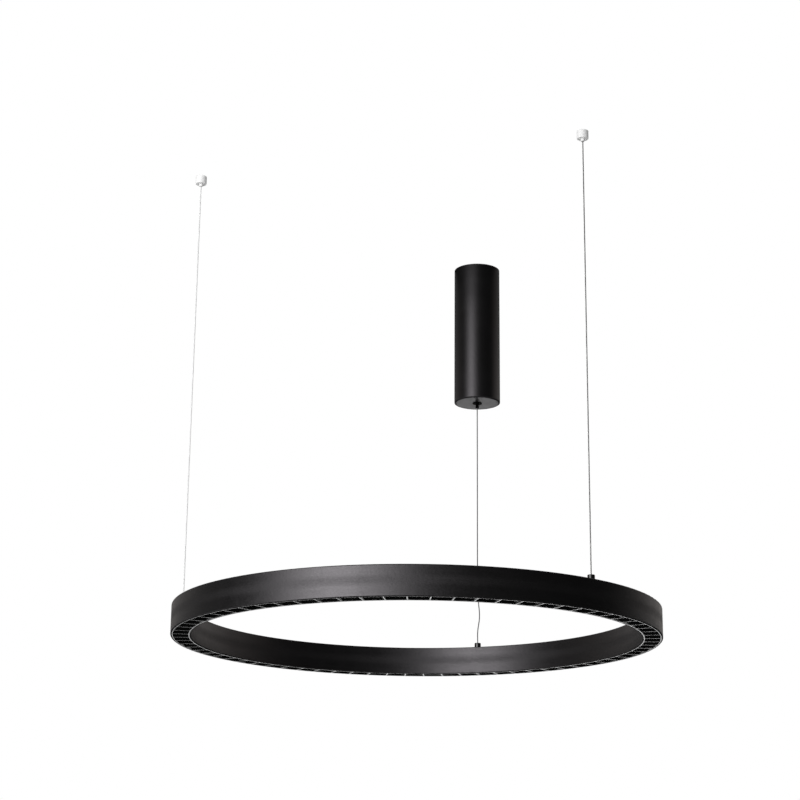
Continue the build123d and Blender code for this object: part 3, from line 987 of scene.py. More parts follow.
@dataclass
class Finishes:
    """Every finish of the light, made once."""

    web_z: float = -567.0 * MM
    lip_z: float = -585.6 * MM
    canopy_foot_z: float = -200.0 * MM
    driver_seam_z: float = -52.0 * MM

    def __post_init__(self) -> None:
        """Make the materials."""
        coat = (grey(0.0035), grey(0.006))
        self.profile = PowderCoat(
            "satin_black_profile",
            *coat,
            roughness=0.37,
            peel=2.2 * MM,
            peel_gain=3.0,
            mottle=0.14,
            dull_z=self.web_z,
            dull_half=8 * MM,
            lip_z=self.lip_z,
            lip_rise=1.2 * MM,
        ).material()
        self.cover = PowderCoat("matt_black_cover", *coat, roughness=0.7, specular=0.3).material()
        lip = {"lip_z": self.canopy_foot_z, "lip_rise": 1.6 * MM}
        self.canopy = PowderCoat("satin_black_canopy", *coat, roughness=0.35, **lip).material()
        self.disc = PowderCoat("satin_black_disc", *coat, roughness=0.35).material()
        shade = (grey(0.001), grey(0.002))
        self.barrel = PowderCoat("matt_black_barrel", *shade, roughness=0.7, specular=0.05).material()
        gloss = (grey(0.003), grey(0.006))
        self.louvre = GlossMoulding("gloss_black_louvre", *gloss, LOUVRE_FACE_Z).material()
        self.fitting = BlackPlating("black_plated_fitting", grey(0.01), grey(0.02)).material()
        self.wire = DrawnSteel("drawn_steel_wire", grey(0.22, -0.01), grey(0.46, -0.01)).material()
        # The left wire's steel is the right wire's drawn steel painted paler and duller: a painted
        # highlight for the light that falls on it.
        painted_pale_steel = {"roughness": 0.5, "metallic": 0.2}
        self.painted_pale_wire = DrawnSteel("steel_wire_painted_pale", grey(0.76), grey(0.9), **painted_pale_steel).material()
        self.core_wire = DrawnSteel("dark_steel_wire", grey(0.06), grey(0.18)).material()
        self.jacket = ClearJacket("clear_wire_jacket", grey(0.14, -0.01), 0.6).material()
        self.steel = ZincSheet("zinc_plated_sheet", grey(0.42), grey(0.62)).material()
        self.aluminium = self._milled("milled_aluminium", 0.6, 0.78)
        self.solder = self._milled("tinned_pad", 0.5, 0.7)
        self.board = SolderMask("white_solder_mask", grey(0.62), grey(0.84)).material()
        gel = ((0.8, 0.52, 0.08, 1.0), (0.95, 0.74, 0.2, 1.0))
        self.phosphor = Grained(
            "yellow_phosphor", *gel, grain=0.1 * MM, roughness=0.2, gain=0.15, coat=0.5
        ).material()
        smooth = {"roughness": 0.3, "skin": 0.1 * MM, "depth": 0.002 * MM}
        self.led_frame = PlainMoulding("white_led_frame", grey(0.7), grey(0.86), **smooth).material()
        self.white = PlainMoulding("white_moulding", grey(0.84), grey(0.92)).material()
        seam = {"seam_z": self.driver_seam_z, "seam_half": 0.7 * MM}
        self.driver = PlainMoulding("driver_moulding", grey(0.45), grey(0.82, -0.01), **seam).material()
        self.brown = self._insulation("brown", (0.1, 0.04, 0.02, 1.0), (0.16, 0.07, 0.035, 1.0))
        self.blue = self._insulation("blue", (0.02, 0.07, 0.24, 1.0), (0.04, 0.11, 0.34, 1.0))
        self.red = self._insulation("red", (0.38, 0.02, 0.015, 1.0), (0.5, 0.04, 0.03, 1.0))
        self.black = self._insulation("black", grey(0.012), grey(0.025))

    def _milled(self, name: str, dark: float, light: float) -> bpy.types.Material:
        """Return plain metal with cutter marks, between two greys."""
        cut = {"grain": 0.4 * MM, "squeeze": (0.1, 1.0, 1.0), "depth": 0.006 * MM, "metallic": 1.0}
        return Grained(name, grey(dark), grey(light), roughness=0.3, gain=0.12, **cut).material()

    def _insulation(self, name: str, dark: Colour, light: Colour) -> bpy.types.Material:
        """Return the soft insulation of a thin lead, a little waxy."""
        wax = {"grain": 1.2 * MM, "detail": 3.0, "depth": 0.01 * MM}
        return Grained(f"{name}_insulation", dark, light, roughness=0.38, gain=0.2, **wax).material()


@dataclass
class Studio:
    """The photograph's camera, a white background, one large soft light and dim panels at the sides.

    Spans of the world are heights above the horizon, or shares of the way to the side.
    """

    camera_place: Point = (0.6720, -2.4819, -0.9573)
    yaw_deg: float = 17.602
    pitch_deg: float = 16.506
    roll_deg: float = -0.580
    lens: float = 84.63
    sensor: float = 36.0
    clip: Span = (0.05, 60.0)
    ring_axis: Point = (0.0, RING_AXIS_Y, -567.0 * MM)
    floor_z: float = -2.3
    floor_half: float = 1.4
    flag_z: float = 0.004
    flag_half: float = 0.15
    flag_grey: float = 0.02
    soft_turn_deg: float = -34.0
    soft_distance: float = 1.7
    soft_middle_z: float = -0.14
    soft_size: Span = (2.8, 1.52)
    soft_fade_from: float = 0.75
    soft_core: float = 0.25
    soft_wide_gain: float = 0.75
    soft_core_gain: float = 0.5
    soft_power: float = 63.0
    behind: Span = (0.1, 0.8)
    front_level: float = 0.008
    back_level: float = 0.14
    open_level: float = 0.3
    low_fall: Span = (-0.12, 0.02)
    low_level: float = 0.15
    horizon_rise: Span = (-0.22, -0.16)
    horizon_fall: Span = (-0.12, -0.07)
    horizon_level: float = 1.9
    horizon_sides: Span = (0.085, 0.12)
    horizon_drop: float = 0.68
    corner_rise: Span = (0.0, 0.105)
    corner_fall: Span = (0.125, 0.16)
    corner_top: Span = (-0.18, -0.155)
    horizon_right: float = 2.3
    panel_offset: float = 0.85
    panel_z: Span = (-0.40, 0.45)
    panel_reach: Span = (0.0, -2.6)
    panel_fade_from: float = 0.15
    panel_edge: float = 0.16
    panel_back: float = 0.45
    panel_colour: Colour = (1.0, 0.92, 0.86, 1.0)
    left_power: float = 2.2
    right_power: float = 3.5

    def _towards(self, turn_deg: float) -> Vector:
        """Return the level direction from the ring to the camera, turned to the right."""
        turn = math.radians(self.yaw_deg + turn_deg)
        return Vector((math.sin(turn), -math.cos(turn), 0.0))

    def camera(self) -> None:
        """Place the camera where the photograph was taken from."""
        pitch = math.radians(self.pitch_deg)
        level = -self._towards(0.0)
        forward = level * math.cos(pitch) + Vector((0.0, 0.0, math.sin(pitch)))
        data = bpy.data.cameras.new("photo_camera")
        data.lens = self.lens
        data.sensor_width = self.sensor
        data.clip_start, data.clip_end = self.clip
        camera = bpy.data.objects.new("photo_camera", data)
        camera.rotation_mode = "QUATERNION"
        roll = Quaternion(forward, math.radians(self.roll_deg))
        camera.rotation_quaternion = roll @ forward.to_track_quat("-Z", "Y")
        camera.location = self.camera_place
        bpy.context.scene.collection.objects.link(camera)
        bpy.context.scene.camera = camera
        bpy.context.scene.view_settings.view_transform = "Standard"

    def world(self) -> None:
        """Make the background white, and what the object mirrors dim, with a bright low horizon."""
        world = bpy.data.worlds.new("studio")
        world.cycles.sampling_method = "NONE"
        bpy.context.scene.world = world
        tree = ShaderTree(world)
        direction = tree.add("ShaderNodeTexCoord")["Generated"]
        behind = tree.measure("DOT_PRODUCT", direction, -self._towards(0.0)).ramp(*self.behind)
        side = tree.measure("DOT_PRODUCT", direction, self._towards(RIGHT_DEG))
        up = tree.split(direction)["Z"]
        under = behind * up.fall(*self.low_fall)
        corner = side.ramp(*self.corner_rise) * side.fall(*self.corner_fall) * up.fall(*self.corner_top)
        sides = abs(side).ramp(*self.horizon_sides) * self.horizon_drop
        horizon = behind * up.ramp(*self.horizon_rise) * up.fall(*self.horizon_fall)
        horizon = horizon * (1.0 - sides + corner * self.horizon_right)
        level = self.front_level + behind * self.back_level
        level = level + under * self.low_level + horizon * self.horizon_level
        rays = tree.add("ShaderNodeLightPath")
        seen = rays["Is Camera Ray"].maximum(rays["Is Transmission Ray"])
        level = level.maximum(rays["Is Diffuse Ray"] * self.open_level)
        strength = level + seen * (1.0 - level)
        light = tree.add("ShaderNodeBackground", {"Color": WHITE, "Strength": strength})["Background"]
        tree.close("World", light)

    def _lamp(self, name: str, place: Vector, towards: Vector, size: Span, power: float) -> ShaderTree:
        """Hang an area lamp that the camera doesn't see.

        Args:
            name: The lamp's name.
            place: Where its middle hangs.
            towards: The level direction that it shines in.
            size: Its width and height.
            power: Its power at full glow.

        Returns:
            The lamp's empty shader tree.
        """
        data = bpy.data.lights.new(name, "AREA")
        data.shape = "RECTANGLE"
        data.size, data.size_y = size
        data.energy = power
        lamp = bpy.data.objects.new(name, data)
        lamp.location = place
        lamp.rotation_mode = "QUATERNION"
        lamp.rotation_quaternion = towards.to_track_quat("-Z", "Y")
        lamp.visible_camera = False
        bpy.context.scene.collection.objects.link(lamp)
        return ShaderTree(data)

    def _spot(self, tree: ShaderTree) -> NodeOut:
        """Return a point's place on a lamp, as shares of its width and height."""
        return tree.split(tree.add("ShaderNodeNewGeometry")["Parametric"])

    def _glow(self, tree: ShaderTree, glow: Sock, colour: Colour = WHITE) -> None:
        """Close a lamp's tree with its glow and its colour."""
        tree.close("Light", tree.add("ShaderNodeEmission", {"Color": colour, "Strength": glow})["Emission"])

    def soft_light(self) -> None:
        """Hang the soft light left of the camera, brightest in its middle, fading at its sides and top."""
        out = self._towards(self.soft_turn_deg)
        place = Vector(self.ring_axis) + out * self.soft_distance
        place.z = self.soft_middle_z
        tree = self._lamp("soft_light", place, -out, self.soft_size, self.soft_power)
        spot = self._spot(tree)
        across = abs(spot["X"] - HALF)
        wide, core = across.fall(0.0, HALF), across.fall(0.0, self.soft_core)
        glow = wide * self.soft_wide_gain + core * self.soft_core_gain
        self._glow(tree, glow * spot["Y"].fall(self.soft_fade_from, 1.0))

    def side_panels(self) -> None:
        """Stand a dim panel on each side, from beside the ring to far behind it, faded at front and top."""
        low, high = self.panel_z
        near, far = self.panel_reach
        front, right = self._towards(0.0), self._towards(RIGHT_DEG)
        middle = Vector(self.ring_axis) + front * ((near + far) / 2.0)
        panels = (("left_panel", -1.0, self.left_power), ("right_panel", 1.0, self.right_power))
        for name, side, power in panels:
            place = middle + right * (side * self.panel_offset)
            place.z = (low + high) / 2.0
            tree = self._lamp(name, place, -side * right, (near - far, high - low), power)
            spot = self._spot(tree)
            along = spot["X"] if side > 0.0 else 1.0 - spot["X"]
            glow = along.ramp(0.0, self.panel_edge) * (1.0 - along * self.panel_back)
            self._glow(tree, glow * spot["Y"].fall(self.panel_fade_from, 1.0), self.panel_colour)

    def _board(
        self, name: str, y: float, z: float, half: float, finish: bpy.types.Material
    ) -> bpy.types.Object:
        """Lay a level square board of the studio.

        Args:
            name: The board's name.
            y: Where its middle lies along Y.
            z: Its height.
            half: Half of its side.
            finish: Its material.

        Returns:
            The board.
        """
        corners = [(-half, -half, 0.0), (half, -half, 0.0), (half, half, 0.0), (-half, half, 0.0)]
        mesh = bpy.data.meshes.new(name)
        mesh.from_pydata(corners, [], [(0, 1, 2, 3)])
        mesh.materials.append(finish)
        board = bpy.data.objects.new(name, mesh)
        board.location = (0.0, y, z)
        bpy.context.scene.collection.objects.link(board)
        return board

    def floor(self) -> None:
        """Lay the pale floor, far under the ring."""
        finish = PaleFloor("pale_floor").material()
        self._board("floor", RING_AXIS_Y, self.floor_z, self.floor_half, finish)

    def flag(self) -> None:
        """Hang a dark flag before the canopy's top, which is only seen where the canopy mirrors it."""
        finish, tree = new_tree("dark_flag")
        tree.surface({"Base Color": grey(self.flag_grey), "Roughness": 1.0, "Specular IOR Level": 0.0})
        flag = self._board("flag", -self.flag_half, self.flag_z, self.flag_half, finish)
        for ray in ("camera", "diffuse", "shadow", "transmission"):
            setattr(flag, f"visible_{ray}", False)

    def build(self) -> None:
        """Build the camera, the light and what surrounds the object."""
        self.camera()
        self.world()
        self.soft_light()
        self.side_panels()
        self.floor()
        self.flag()


@dataclass
class SuspensionWire:
    """One wire: strands laid round a smooth line, with a clear jacket where it carries the current."""

    name: str
    route: Sequence[Point]
    diameter: float
    strand_share: float = 1.0
    strands: int = 6
    strands_across: float = 3.0
    sides: int = 6
    lay: float = 9 * MM
    steps: float = 10.0
    jacket_sides: int = 16
    jacket_steps: float = 2.0
    travel: float = 120 * MM
    smooth_deg: float = 60.0

    def _lay(self, name: str, tree: StrandTree, values: dict[str, Any], *nodes: str) -> bpy.types.Object:
        """Lay strands along the route.

        Args:
            name: The piece's name.
            tree: The tree that lays strands.
            values: The tree's inputs.
            nodes: The nodes that the piece stands for.

        Returns:
            The piece.
        """
        piece = tree.run(name, spline_line(self.name + "_line", self.route), {"Lay": self.lay, **values})
        tidy_mesh(piece.data, self.smooth_deg)
        settle(piece, Body.CEILING, Slot.WIRE, *nodes)
        top, bottom = self.route[0], self.route[-1]
        reach = top[2] - bottom[2]
        (reach - self.travel) / reach
        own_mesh(piece)
        return piece

    def build(
        self, tree: StrandTree, steel: bpy.types.Material, clear: bpy.types.Material | None = None
    ) -> None:
        """Args:
            tree: The tree that lays strands.
            steel: The strands' finish.
            clear: The jacket's finish, where it has one.
        """
        strand = self.diameter * self.strand_share / self.strands_across
        values = {
            "Strands": self.strands,
            "Offset": strand,
            "Strand radius": strand / 2.0,
            "Sides": self.sides,
            "Step": self.lay / self.steps,
            "Material": steel,
        }
        rope = self._lay(self.name + "_strands", tree, values, self.name)
        if clear:
            values = {
                "Strands": 1,
                "Offset": 0.0,
                "Strand radius": self.diameter / 2.0,
                "Sides": self.jacket_sides,
                "Step": self.lay / self.jacket_steps,
                "Material": clear,
            }
            self._lay(self.name + "_jacket", tree, values)
        line = spline_line(self.name + "_line", self.route)


@dataclass
class Lead:
    """One thin insulated lead, bent smoothly along its route."""

    name: str
    node: str
    body: Body
    route: Sequence[Point]
    diameter: float = LEAD_DIAMETER
    shortest: float = 30 * MM
    roundness: int = 4

    def build(self, material: bpy.types.Material) -> None:
        """Args:
            material: Its insulation.
        """
        length = line_length(spline_line(self.name, self.route))
        curve = spline_curve(self.name, self.route)
        curve.bevel_depth = self.diameter / 2.0
        curve.bevel_resolution = self.roundness
        curve.use_fill_caps = True
        curve.materials.append(material)
        lead = bpy.data.objects.new(self.name, curve)
        bpy.context.scene.collection.objects.link(lead)
        settle(lead, self.body, Slot.LEAD, self.node)
        length >= self.shortest


@dataclass
class Louvre:
    """The ring of tapered cells, in six arcs, whose face fills the channel's mouth between its ribs."""

    axis: Point = (0.0, RING_AXIS_Y, LOUVRE_FACE_Z)
    arcs: int = 6
    rim_reach: float = 10.85 * MM
    face_reach: float = 10.6 * MM
    face_step: float = 0.55 * MM
    mouth_reach: float = 9.55 * MM
    fin_width: float = 1.4 * MM
    top_half: float = 4.5 * MM
    depth: float = 14.55 * MM
    wall_rows: tuple[float, ...] = (0.3, 0.65, 1.0)
    plate: float = 2.15 * MM
    wall: float = 1.2 * MM
    edge: float = 0.2 * MM
    edge_turns: tuple[float, ...] = (0.0, 22.5, 45.0, 67.5, 90.0)
    outer_edge: float = 0.15 * MM
    outer_turns: tuple[float, ...] = (30.0, 60.0, 90.0)
    flat_edge: float = 0.03 * MM
    corner: float = 0.9 * MM
    end_gap: float = 0.2 * MM
    weld: float = 0.005 * MM
    smooth_deg: float = 32.0
    shares: tuple[float, ...] = (0.0, 0.06, 0.28, 0.5, 0.72, 0.94)
    half_cell: float = math.pi / CELLS

    def _mouth(self, grow: float, z: float) -> list[Point]:
        """Draw the cell's inner outline, with rounded corners.

        Args:
            grow: How far outside the cell's wall it lies.
            z: Its height over the face.

        Returns:
            The outline's points, side after side.
        """
        slope = math.tan(self.half_cell)
        wide = RING_RADIUS * slope - self.fin_width / 2.0 / math.cos(self.half_cell)
        share = z / self.depth
        reach = self.mouth_reach + (self.top_half - self.mouth_reach) * share + grow
        half = wide + (self.top_half - wide) * share + grow
        near, far = RING_RADIUS - reach, RING_RADIUS + reach
        short, long = half - reach * slope, half + reach * slope
        corners = [Vector((near, -short)), Vector((far, -long)), Vector((far, long)), Vector((near, short))]
        cut = self.corner * (1.0 - math.sqrt(HALF))
        points: list[Point] = []
        for i, corner in enumerate(corners):
            ahead = corners[(i + 1) % len(corners)] - corner
            behind = corners[i - 1] - corner
            rounded = corner + (ahead.normalized() + behind.normalized()) * cut
            points.append((rounded.x, rounded.y, z))
            for part in self.shares[1:]:
                place = min(max(part * ahead.length, self.corner), ahead.length - self.corner)
                spot = corner + ahead.normalized() * place
                points.append((spot.x, spot.y, z))
        return points

    def _border(self, reach: float, z: float) -> list[Point]:
        """Draw the outline of a cell's share of the plate, between the middles of two fins.

        Args:
            reach: How far it goes to each side of the ring's middle radius.
            z: Its height over the face.

        Returns:
            The outline's points, which match those of the cell.
        """
        half = self.half_cell
        near, far = RING_RADIUS - reach, RING_RADIUS + reach
        polar = [(near + part * (far - near), -half) for part in self.shares]
        polar += [(far, half * (2.0 * part - 1.0)) for part in self.shares]
        polar += [(far - part * (far - near), half) for part in self.shares]
        polar += [(near, half * (1.0 - 2.0 * part)) for part in self.shares]
        return [(r * math.cos(a), r * math.sin(a), z) for r, a in polar]

    def cell_mesh(self) -> bpy.types.Mesh:
        """Make one cell with its share of the plate.

        Returns:
            The mesh, open where the cell meets its neighbours.
        """
        flat_reach = self.face_reach - self.outer_edge
        flat = self._border(flat_reach - self.flat_edge, 0.0)
        top = self._border(self.rim_reach, self.plate)
        loops = [flat, self._mouth(self.edge + self.flat_edge, 0.0)]
        for turn in map(math.radians, self.edge_turns):
            grow, z = self.edge * (1.0 - math.sin(turn)), self.edge * (1.0 - math.cos(turn))
            loops.append(self._mouth(grow, z))
        loops += [self._mouth(0.0, self.depth * share) for share in self.wall_rows]
        loops += [self._mouth(self.wall, self.depth), self._mouth(self.wall, self.plate), top]
        mesh = loops_mesh("louvre_cell", loops)
        work = bmesh.new()
        work.from_mesh(mesh)
        rows = [flat, self._border(flat_reach, 0.0)]
        for turn in map(math.radians, self.outer_turns):
            reach = self.face_reach - self.outer_edge * (1.0 - math.sin(turn))
            rows.append(self._border(reach, self.outer_edge * (1.0 - math.cos(turn))))
        rows += [self._border(reach, self.face_step) for reach in (self.face_reach, self.rim_reach)]
        rows.append(top)
        count = len(self.shares)
        # The outline's second and fourth sides are the plate's outer and inner edges.
        for first in (count, 3 * count):
            span = [(first + i) % len(top) for i in range(count + 1)]
            for low, high in zip(rows, rows[1:]):
                for i, j in zip(span, span[1:]):
                    work.faces.new([work.verts.new(p) for p in (low[i], low[j], high[j], high[i])])
        bmesh.ops.remove_doubles(work, verts=work.verts, dist=WELD)
        work.to_mesh(mesh)
        work.free()
        return mesh

    def _close_ends(self, mesh: bpy.types.Mesh) -> None:
        """Close an arc's two ends, and draw them back by half the gap between arcs.

        Args:
            mesh: The arc's mesh, which is changed.
        """
        work = bmesh.new()
        work.from_mesh(mesh)
        axis = Vector((self.axis[0], self.axis[1], 0.0))
        open_edges = [edge for edge in work.edges if edge.is_boundary]
        ends = {vertex for edge in open_edges for vertex in edge.verts}
        inner = Vector(ORIGIN)
        for vertex in work.verts:
            inner += vertex.co
        inner /= len(work.verts)
        bmesh.ops.holes_fill(work, edges=open_edges, sides=0)
        for vertex in ends:
            out = Vector((vertex.co.x, vertex.co.y, 0.0)) - axis
            along = Vector((-out.y, out.x, 0.0)).normalized()
            if along.dot(inner - vertex.co) < 0.0:
                along.negate()
            vertex.co += along * (self.end_gap / 2.0)
        work.to_mesh(mesh)
        work.free()

    def build(self, finishes: Finishes, tree: RoundTree) -> None:
        """Build the six arcs.

        Args:
            finishes: The light's finishes.
            tree: The tree that repeats a shape round an axis.
        """
        step = math.tau / CELLS
        count = CELLS // self.arcs
        for arc in range(self.arcs):
            name, mesh = f"louvre_arc_{arc + 1}", self.cell_mesh()
            first = math.radians(FIRST_DEG) + step * (arc * count + HALF)
            piece = tree.repeat(name, mesh, finishes.louvre, count, step, first, self.axis, self.weld)
            self._close_ends(piece.data)
            tidy_mesh(piece.data, self.smooth_deg)
            settle(piece, Body.RING, Slot.LOUVRE, f"louvre_{arc + 1}")


@dataclass
class LightSource:
    """The LED packages over the cells, with their pads on the boards."""

    axis: Point = (0.0, RING_AXIS_Y, -569.2 * MM)
    boards: int = 6
    size: Point = (2.8 * MM, 3.5 * MM, 0.7 * MM)
    corner_cut: float = 0.2
    frame_width: float = 0.35 * MM
    cavity: float = 0.25 * MM
    chamfer: float = 0.12 * MM
    gel_rows: tuple[Span, ...] = ((0.97, 0.0), (0.92, 0.05 * MM), (0.55, 0.1 * MM))
    pad: Span = (2.0 * MM, 0.7 * MM)
    pad_gap: float = 0.35 * MM
    pad_height: float = 0.12 * MM
    pad_rows: tuple[Point, ...] = ((1.0, 1.0, 0.0), (0.9, 0.85, 0.7), (0.5, 0.4, 1.0))
    smooth_deg: float = 40.0

    def _rectangle(self, half_x: float, half_y: float, z: float, y: float = 0.0) -> list[Point]:
        """Draw a rectangle with cut corners, in the plane of the board.

        Args:
            half_x: Half of its size along the ring's radius.
            half_y: Half of its size along the ring.
            z: Its height from the board's face.
            y: Where its middle lies along the ring.

        Returns:
            Its points in order.
        """
        cut = min(half_x, half_y) * self.corner_cut
        points: list[Point] = []
        for x_sign, y_sign in ((-1, -1), (1, -1), (1, 1), (-1, 1)):
            pair = [(x_sign * (half_x - cut), y_sign * half_y), (x_sign * half_x, y_sign * (half_y - cut))]
            if x_sign * y_sign > 0:
                pair.reverse()
            points += [(RING_RADIUS + px, y + py, z) for px, py in pair]
        return points

    def frame_mesh(self) -> bpy.types.Mesh:
        """Make one package's white frame, with the cavity that holds the gel.

        Returns:
            The mesh.
        """
        half_x, half_y, low = self.size[0] / 2.0, self.size[1] / 2.0, -self.size[2]
        cut, rim = self.chamfer, self.frame_width
        rows = ((0.0, 0.0), (0.0, low + cut), (cut, low), (rim, low), (rim + cut, low + self.cavity))
        loops = [self._rectangle(half_x - inset, half_y - inset, z) for inset, z in rows]
        return loops_mesh("led_frame", loops, capped=True)

    def gel_mesh(self) -> bpy.types.Mesh:
        """Make one package's gel, slightly domed.

        Returns:
            The mesh.
        """
        half_x, half_y = self.size[0] / 2.0 - self.frame_width, self.size[1] / 2.0 - self.frame_width
        base = -self.size[2] + self.cavity * HALF
        loops = [
            self._rectangle(half_x * share, half_y * share, base - dome) for share, dome in self.gel_rows
        ]
        return loops_mesh("led_gel", loops, capped=True)

    def pad_mesh(self) -> bpy.types.Mesh:
        """Make one package's two soldered pads.

        Returns:
            The mesh.
        """
        half_x, half_y = self.pad[0] / 2.0, self.pad[1] / 2.0
        offset = self.size[1] / 2.0 + self.pad_gap + half_y
        work = bmesh.new()
        for y in (-offset, offset):
            loops = [
                self._rectangle(half_x * wide, half_y * long, -self.pad_height * high, y)
                for wide, long, high in self.pad_rows
            ]
            work.from_mesh(loops_mesh("led_pad", loops, capped=True))
        mesh = bpy.data.meshes.new("led_pads")
        work.to_mesh(mesh)
        work.free()
        return mesh

    def build(self, finishes: Finishes, tree: RoundTree) -> None:
        """Build the packages and pads, and dress the boards.

        Args:
            finishes: The light's finishes.
            tree: The tree that repeats a shape round an axis.
        """
        step = math.tau / CELLS
        first = math.radians(FIRST_DEG) + step / 2.0
        shapes = (
            ("led_frames", self.frame_mesh, finishes.led_frame, Slot.BOARD, ("led_packages",)),
            ("led_gels", self.gel_mesh, finishes.phosphor, Slot.PHOSPHOR, ("led_packages",)),
            ("led_pads", self.pad_mesh, finishes.solder, Slot.STEEL, ()),
        )
        for name, make, material, slot, nodes in shapes:
            piece = tree.repeat(name, make(), material, CELLS, step, first, self.axis)
            tidy_mesh(piece.data, self.smooth_deg, FINE_WELD)
            settle(piece, Body.RING, slot, *nodes)
        dress(finishes.board, *[f"led_board_{i + 1}" for i in range(self.boards)])
        dress(finishes.white, "board_links")


@dataclass
class RingParts:
    """The rolled profile, its covers, caps and what is caught in it."""

    points: tuple[str, ...] = ("middle", "left", "right")
    ferrule_end_z: float = -556.5 * MM
    entry_z: float = -562.5 * MM
    terminal_x: Span = (-16.0 * MM, -30.0 * MM)
    hole_x: float = -38.0 * MM
    board_z: float = -568.0 * MM

    def build(self, finishes: Finishes) -> None:
        """Dress the ring's nodes and lay its short leads.

        Args:
            finishes: The light's finishes.
        """
        dress(finishes.profile, "ring_profile")
        dress(finishes.cover, *[f"{point}_top_cover" for point in self.points])
        dress(finishes.fitting, *[f"{point}_cap" for point in self.points])
        for point in self.points:
            dress(finishes.aluminium, f"{point}_saddle", f"{point}_ferrule")
        dress(finishes.white, "feed_terminal")
        near, far = self.terminal_x
        tail = [(0.0, 0.0, self.ferrule_end_z), (0.0, 0.0, self.entry_z), (near, 0.0, self.entry_z)]
        turn = (self.hole_x, 0.0, self.entry_z)
        lead = [(far, 0.0, self.entry_z), turn, (self.hole_x, 0.0, self.board_z)]
        for node, route in (("feed_tail", tail), ("feed_lead", lead)):
            Lead(f"{node}_bend", node, Body.RING, route).build(finishes.red)


@dataclass
class CanopyParts:
    """The canopy tube, its end disc, the wire grip and the grub screws at the back."""

    radius: float = 32.5 * MM
    screw_angles: Span = (45.0, 135.0)
    screw_z: float = -8.0 * MM
    screw_radius: float = 2.0 * MM
    screw_sunk: float = 0.2 * MM
    screw_tip: float = 30.9 * MM
    socket: float = 1.0 * MM
    socket_depth: float = 0.9 * MM
    drill: Span = (0.3, 1.1)
    chamfer: float = 0.25 * MM
    sides: int = 24
    smooth_deg: float = 30.0

    def _loop(self, radius: float, x: float, hexagon: bool = False) -> list[Point]:
        """Draw a circle, or a hexagon round it, about the screw's axis, which points along X.

        Args:
            radius: The circle's radius.
            x: Its place along the axis.
            hexagon: Whether it is a hexagon.

        Returns:
            Its points in order.
        """
        side = math.tau / HEXAGON_SIDES
        points: list[Point] = []
        for i in range(self.sides):
            angle = math.tau * i / self.sides
            reach = radius / math.cos(angle % side - side / 2.0) if hexagon else radius
            points.append((x, reach * math.cos(angle), self.screw_z + reach * math.sin(angle)))
        return points

    def screw_mesh(self) -> bpy.types.Mesh:
        """Make one grub screw with its hexagon socket, pointing along X.

        Returns:
            The mesh.
        """
        head, narrow = self.radius - self.screw_sunk, self.screw_radius - self.chamfer
        drill, drill_depth = self.socket * self.drill[0], self.socket_depth * self.drill[1]
        loops = [
            self._loop(narrow, self.screw_tip),
            self._loop(self.screw_radius, self.screw_tip + self.chamfer),
            self._loop(self.screw_radius, head - self.chamfer),
            self._loop(narrow, head),
            self._loop(self.socket, head, hexagon=True),
            self._loop(self.socket, head - self.socket_depth, hexagon=True),
            self._loop(drill, head - drill_depth, hexagon=True),
        ]
        return loops_mesh("grub_screw", loops, capped=True)

    def build(self, finishes: Finishes, tree: RoundTree) -> None:
        """Dress the canopy's nodes and make its grub screws.

        Args:
            finishes: The light's finishes.
            tree: The tree that repeats a shape round an axis.
        """
        dress(finishes.canopy, "canopy_tube")
        dress(finishes.disc, "end_disc")
        dress(finishes.barrel, "grip_barrel", "canopy_nozzle")
        dress(finishes.steel, "grip_nut")
        first, second = map(math.radians, self.screw_angles)
        mesh, count = self.screw_mesh(), len(self.screw_angles)
        screws = tree.repeat("grub_screw_pair", mesh, finishes.fitting, count, second - first, first)
        tidy_mesh(screws.data, self.smooth_deg, FINE_WELD)
        settle(screws, Body.CANOPY, Slot.FITTING, "grub_screws")


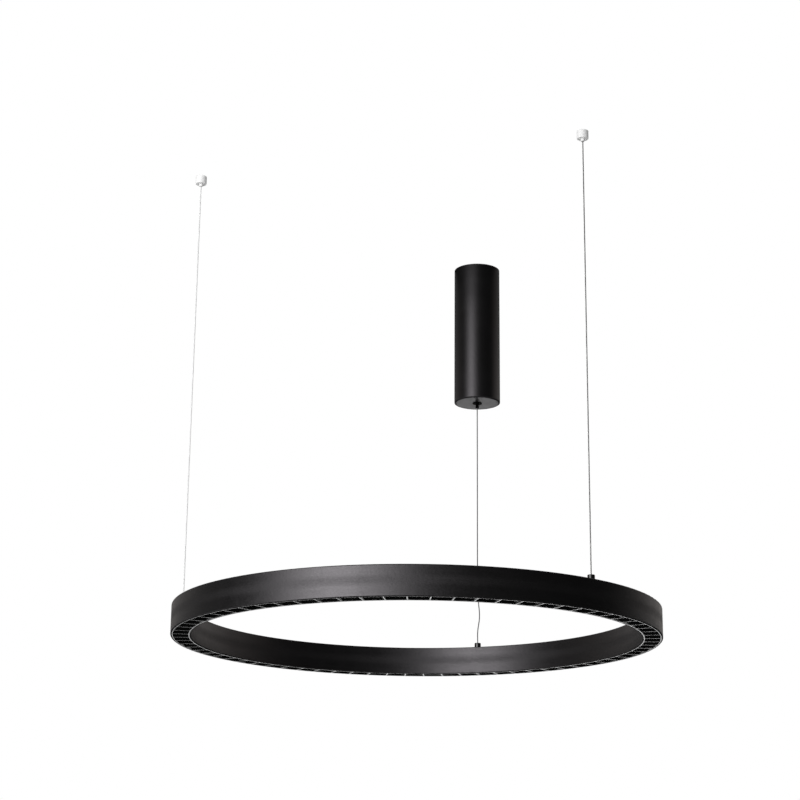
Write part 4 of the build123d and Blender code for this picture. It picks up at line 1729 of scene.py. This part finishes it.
@dataclass
class CeilingParts:
    """What stays on the ceiling: the plate, the driver with its terminals and leads, and the anchors."""

    mains_x: float = 5.0 * MM
    mains_y: float = 8.5 * MM
    mains_rows: Point = (-32.0 * MM, -26.0 * MM, -20.0 * MM)
    output_x: Span = (-9.5 * MM, -6.5 * MM)
    driver_y: float = 13.5 * MM
    driver_foot_z: float = -142.0 * MM
    loop_z: float = -151.0 * MM
    rise_z: float = -135.5 * MM
    connector_y: float = -2.0 * MM
    connector_z: Span = (-46.0 * MM, -36.0 * MM)
    clamp_z: float = -18.0 * MM
    tail_diameter: float = 1.2 * MM
    tail_x: float = -8.0 * MM
    tail_top_z: float = -12.0 * MM
    tail_turn_z: float = -20.25 * MM

    def build(self, finishes: Finishes) -> None:
        """Dress the ceiling's nodes and lay its leads.

        Args:
            finishes: The light's finishes.
        """
        dress(finishes.steel, "ceiling_plate", "driver_bracket", "wire_clamp", "clamp_screw")
        dress(finishes.driver, "driver_case")
        dress(finishes.white, "mains_terminal", "output_connector")
        for side in ("left", "right"):
            dress(finishes.steel, f"{side}_anchor_base")
            dress(finishes.white, f"{side}_anchor_cup", f"{side}_nozzle")
        mains = (("brown", -self.mains_x, finishes.brown), ("blue", self.mains_x, finishes.blue))
        for name, x, material in mains:
            route = [(x, self.mains_y, z) for z in self.mains_rows]
            Lead(f"mains_lead_{name}", "mains_leads", Body.CEILING, route).build(material)
        back, front = self.driver_y, self.connector_y
        foot, top = self.connector_z
        path = ((back, self.driver_foot_z), (back, self.loop_z), (front, self.loop_z), (front, self.rise_z))
        outputs = zip(("red", "black"), self.output_x, (finishes.red, finishes.black))
        for name, x, material in outputs:
            route = [(x, y, z) for y, z in (*path, (front, foot))]
            Lead(f"output_lead_{name}", "output_leads", Body.CEILING, route).build(material)
        tail = [(0.0, 0.0, z) for z in (self.clamp_z, self.tail_top_z)]
        tail += [(self.tail_x, front, z) for z in (self.tail_top_z, self.tail_turn_z, top)]
        Lead("wire_tail_bend", "wire_tail", Body.CEILING, tail, self.tail_diameter).build(finishes.black)


@dataclass
class Wires:
    """The three suspension wires, the middle one with a small wave over its cap.

    Rows of the wave are an offset and a height, in millimetres.
    """

    diameter: float = 1.5 * MM
    core_share: float = 0.74
    lower_z: float = -548.5 * MM
    middle_top_z: float = -18.0 * MM
    side_top_z: float = -4.0 * MM
    side_rows: Span = (-190.0 * MM, -360.0 * MM)
    side_x: float = 248.982 * MM
    side_y: float = -431.25 * MM
    straight_rows: Span = (-216.0, -330.0)
    wave_rows: tuple[Span, ...] = ((-0.2, -440.0), (0.4, -482.0), (3.4, -506.0), (-0.3, -526.0))
    cap_row: float = -540.0
    wave: Span = (0.9536, 0.3010)

    def build(self, finishes: Finishes, tree: StrandTree) -> None:
        """Build the wires.

        Args:
            finishes: The light's finishes.
            tree: The tree that lays strands.
        """
        rows = [*((0.0, z) for z in self.straight_rows), *self.wave_rows, (0.0, self.cap_row)]
        x, y = self.wave
        middle = [(x * offset * MM, y * offset * MM, z * MM) for offset, z in rows]
        middle = [(0.0, 0.0, self.middle_top_z), *middle, (0.0, 0.0, self.lower_z)]
        wire = SuspensionWire("middle_wire", middle, self.diameter, self.core_share)
        wire.build(tree, finishes.core_wire, finishes.jacket)
        sides = (
            # The left wire takes the painted pale steel, painted light on a wire that is the same as the
            # right one.
            ("left_wire", -self.side_x, finishes.painted_pale_wire),
            ("right_wire", self.side_x, finishes.wire),
        )
        for name, x, steel in sides:
            route = [(x, self.side_y, z) for z in (self.side_top_z, *self.side_rows, self.lower_z)]
            SuspensionWire(name, route, self.diameter).build(tree, steel)


def main() -> None:
    """Build the studio and then the light, part by part."""
    logging.basicConfig(level=logging.INFO, format="%(message)s")
    finishes = Finishes()
    Studio().build()
    strands, rounds = StrandTree(), RoundTree()
    Wires().build(finishes, strands)
    Louvre().build(finishes, rounds)
    LightSource().build(finishes, rounds)
    RingParts().build(finishes)
    CanopyParts().build(finishes, rounds)
    CeilingParts().build(finishes)


if __name__ == "__main__":
    main()
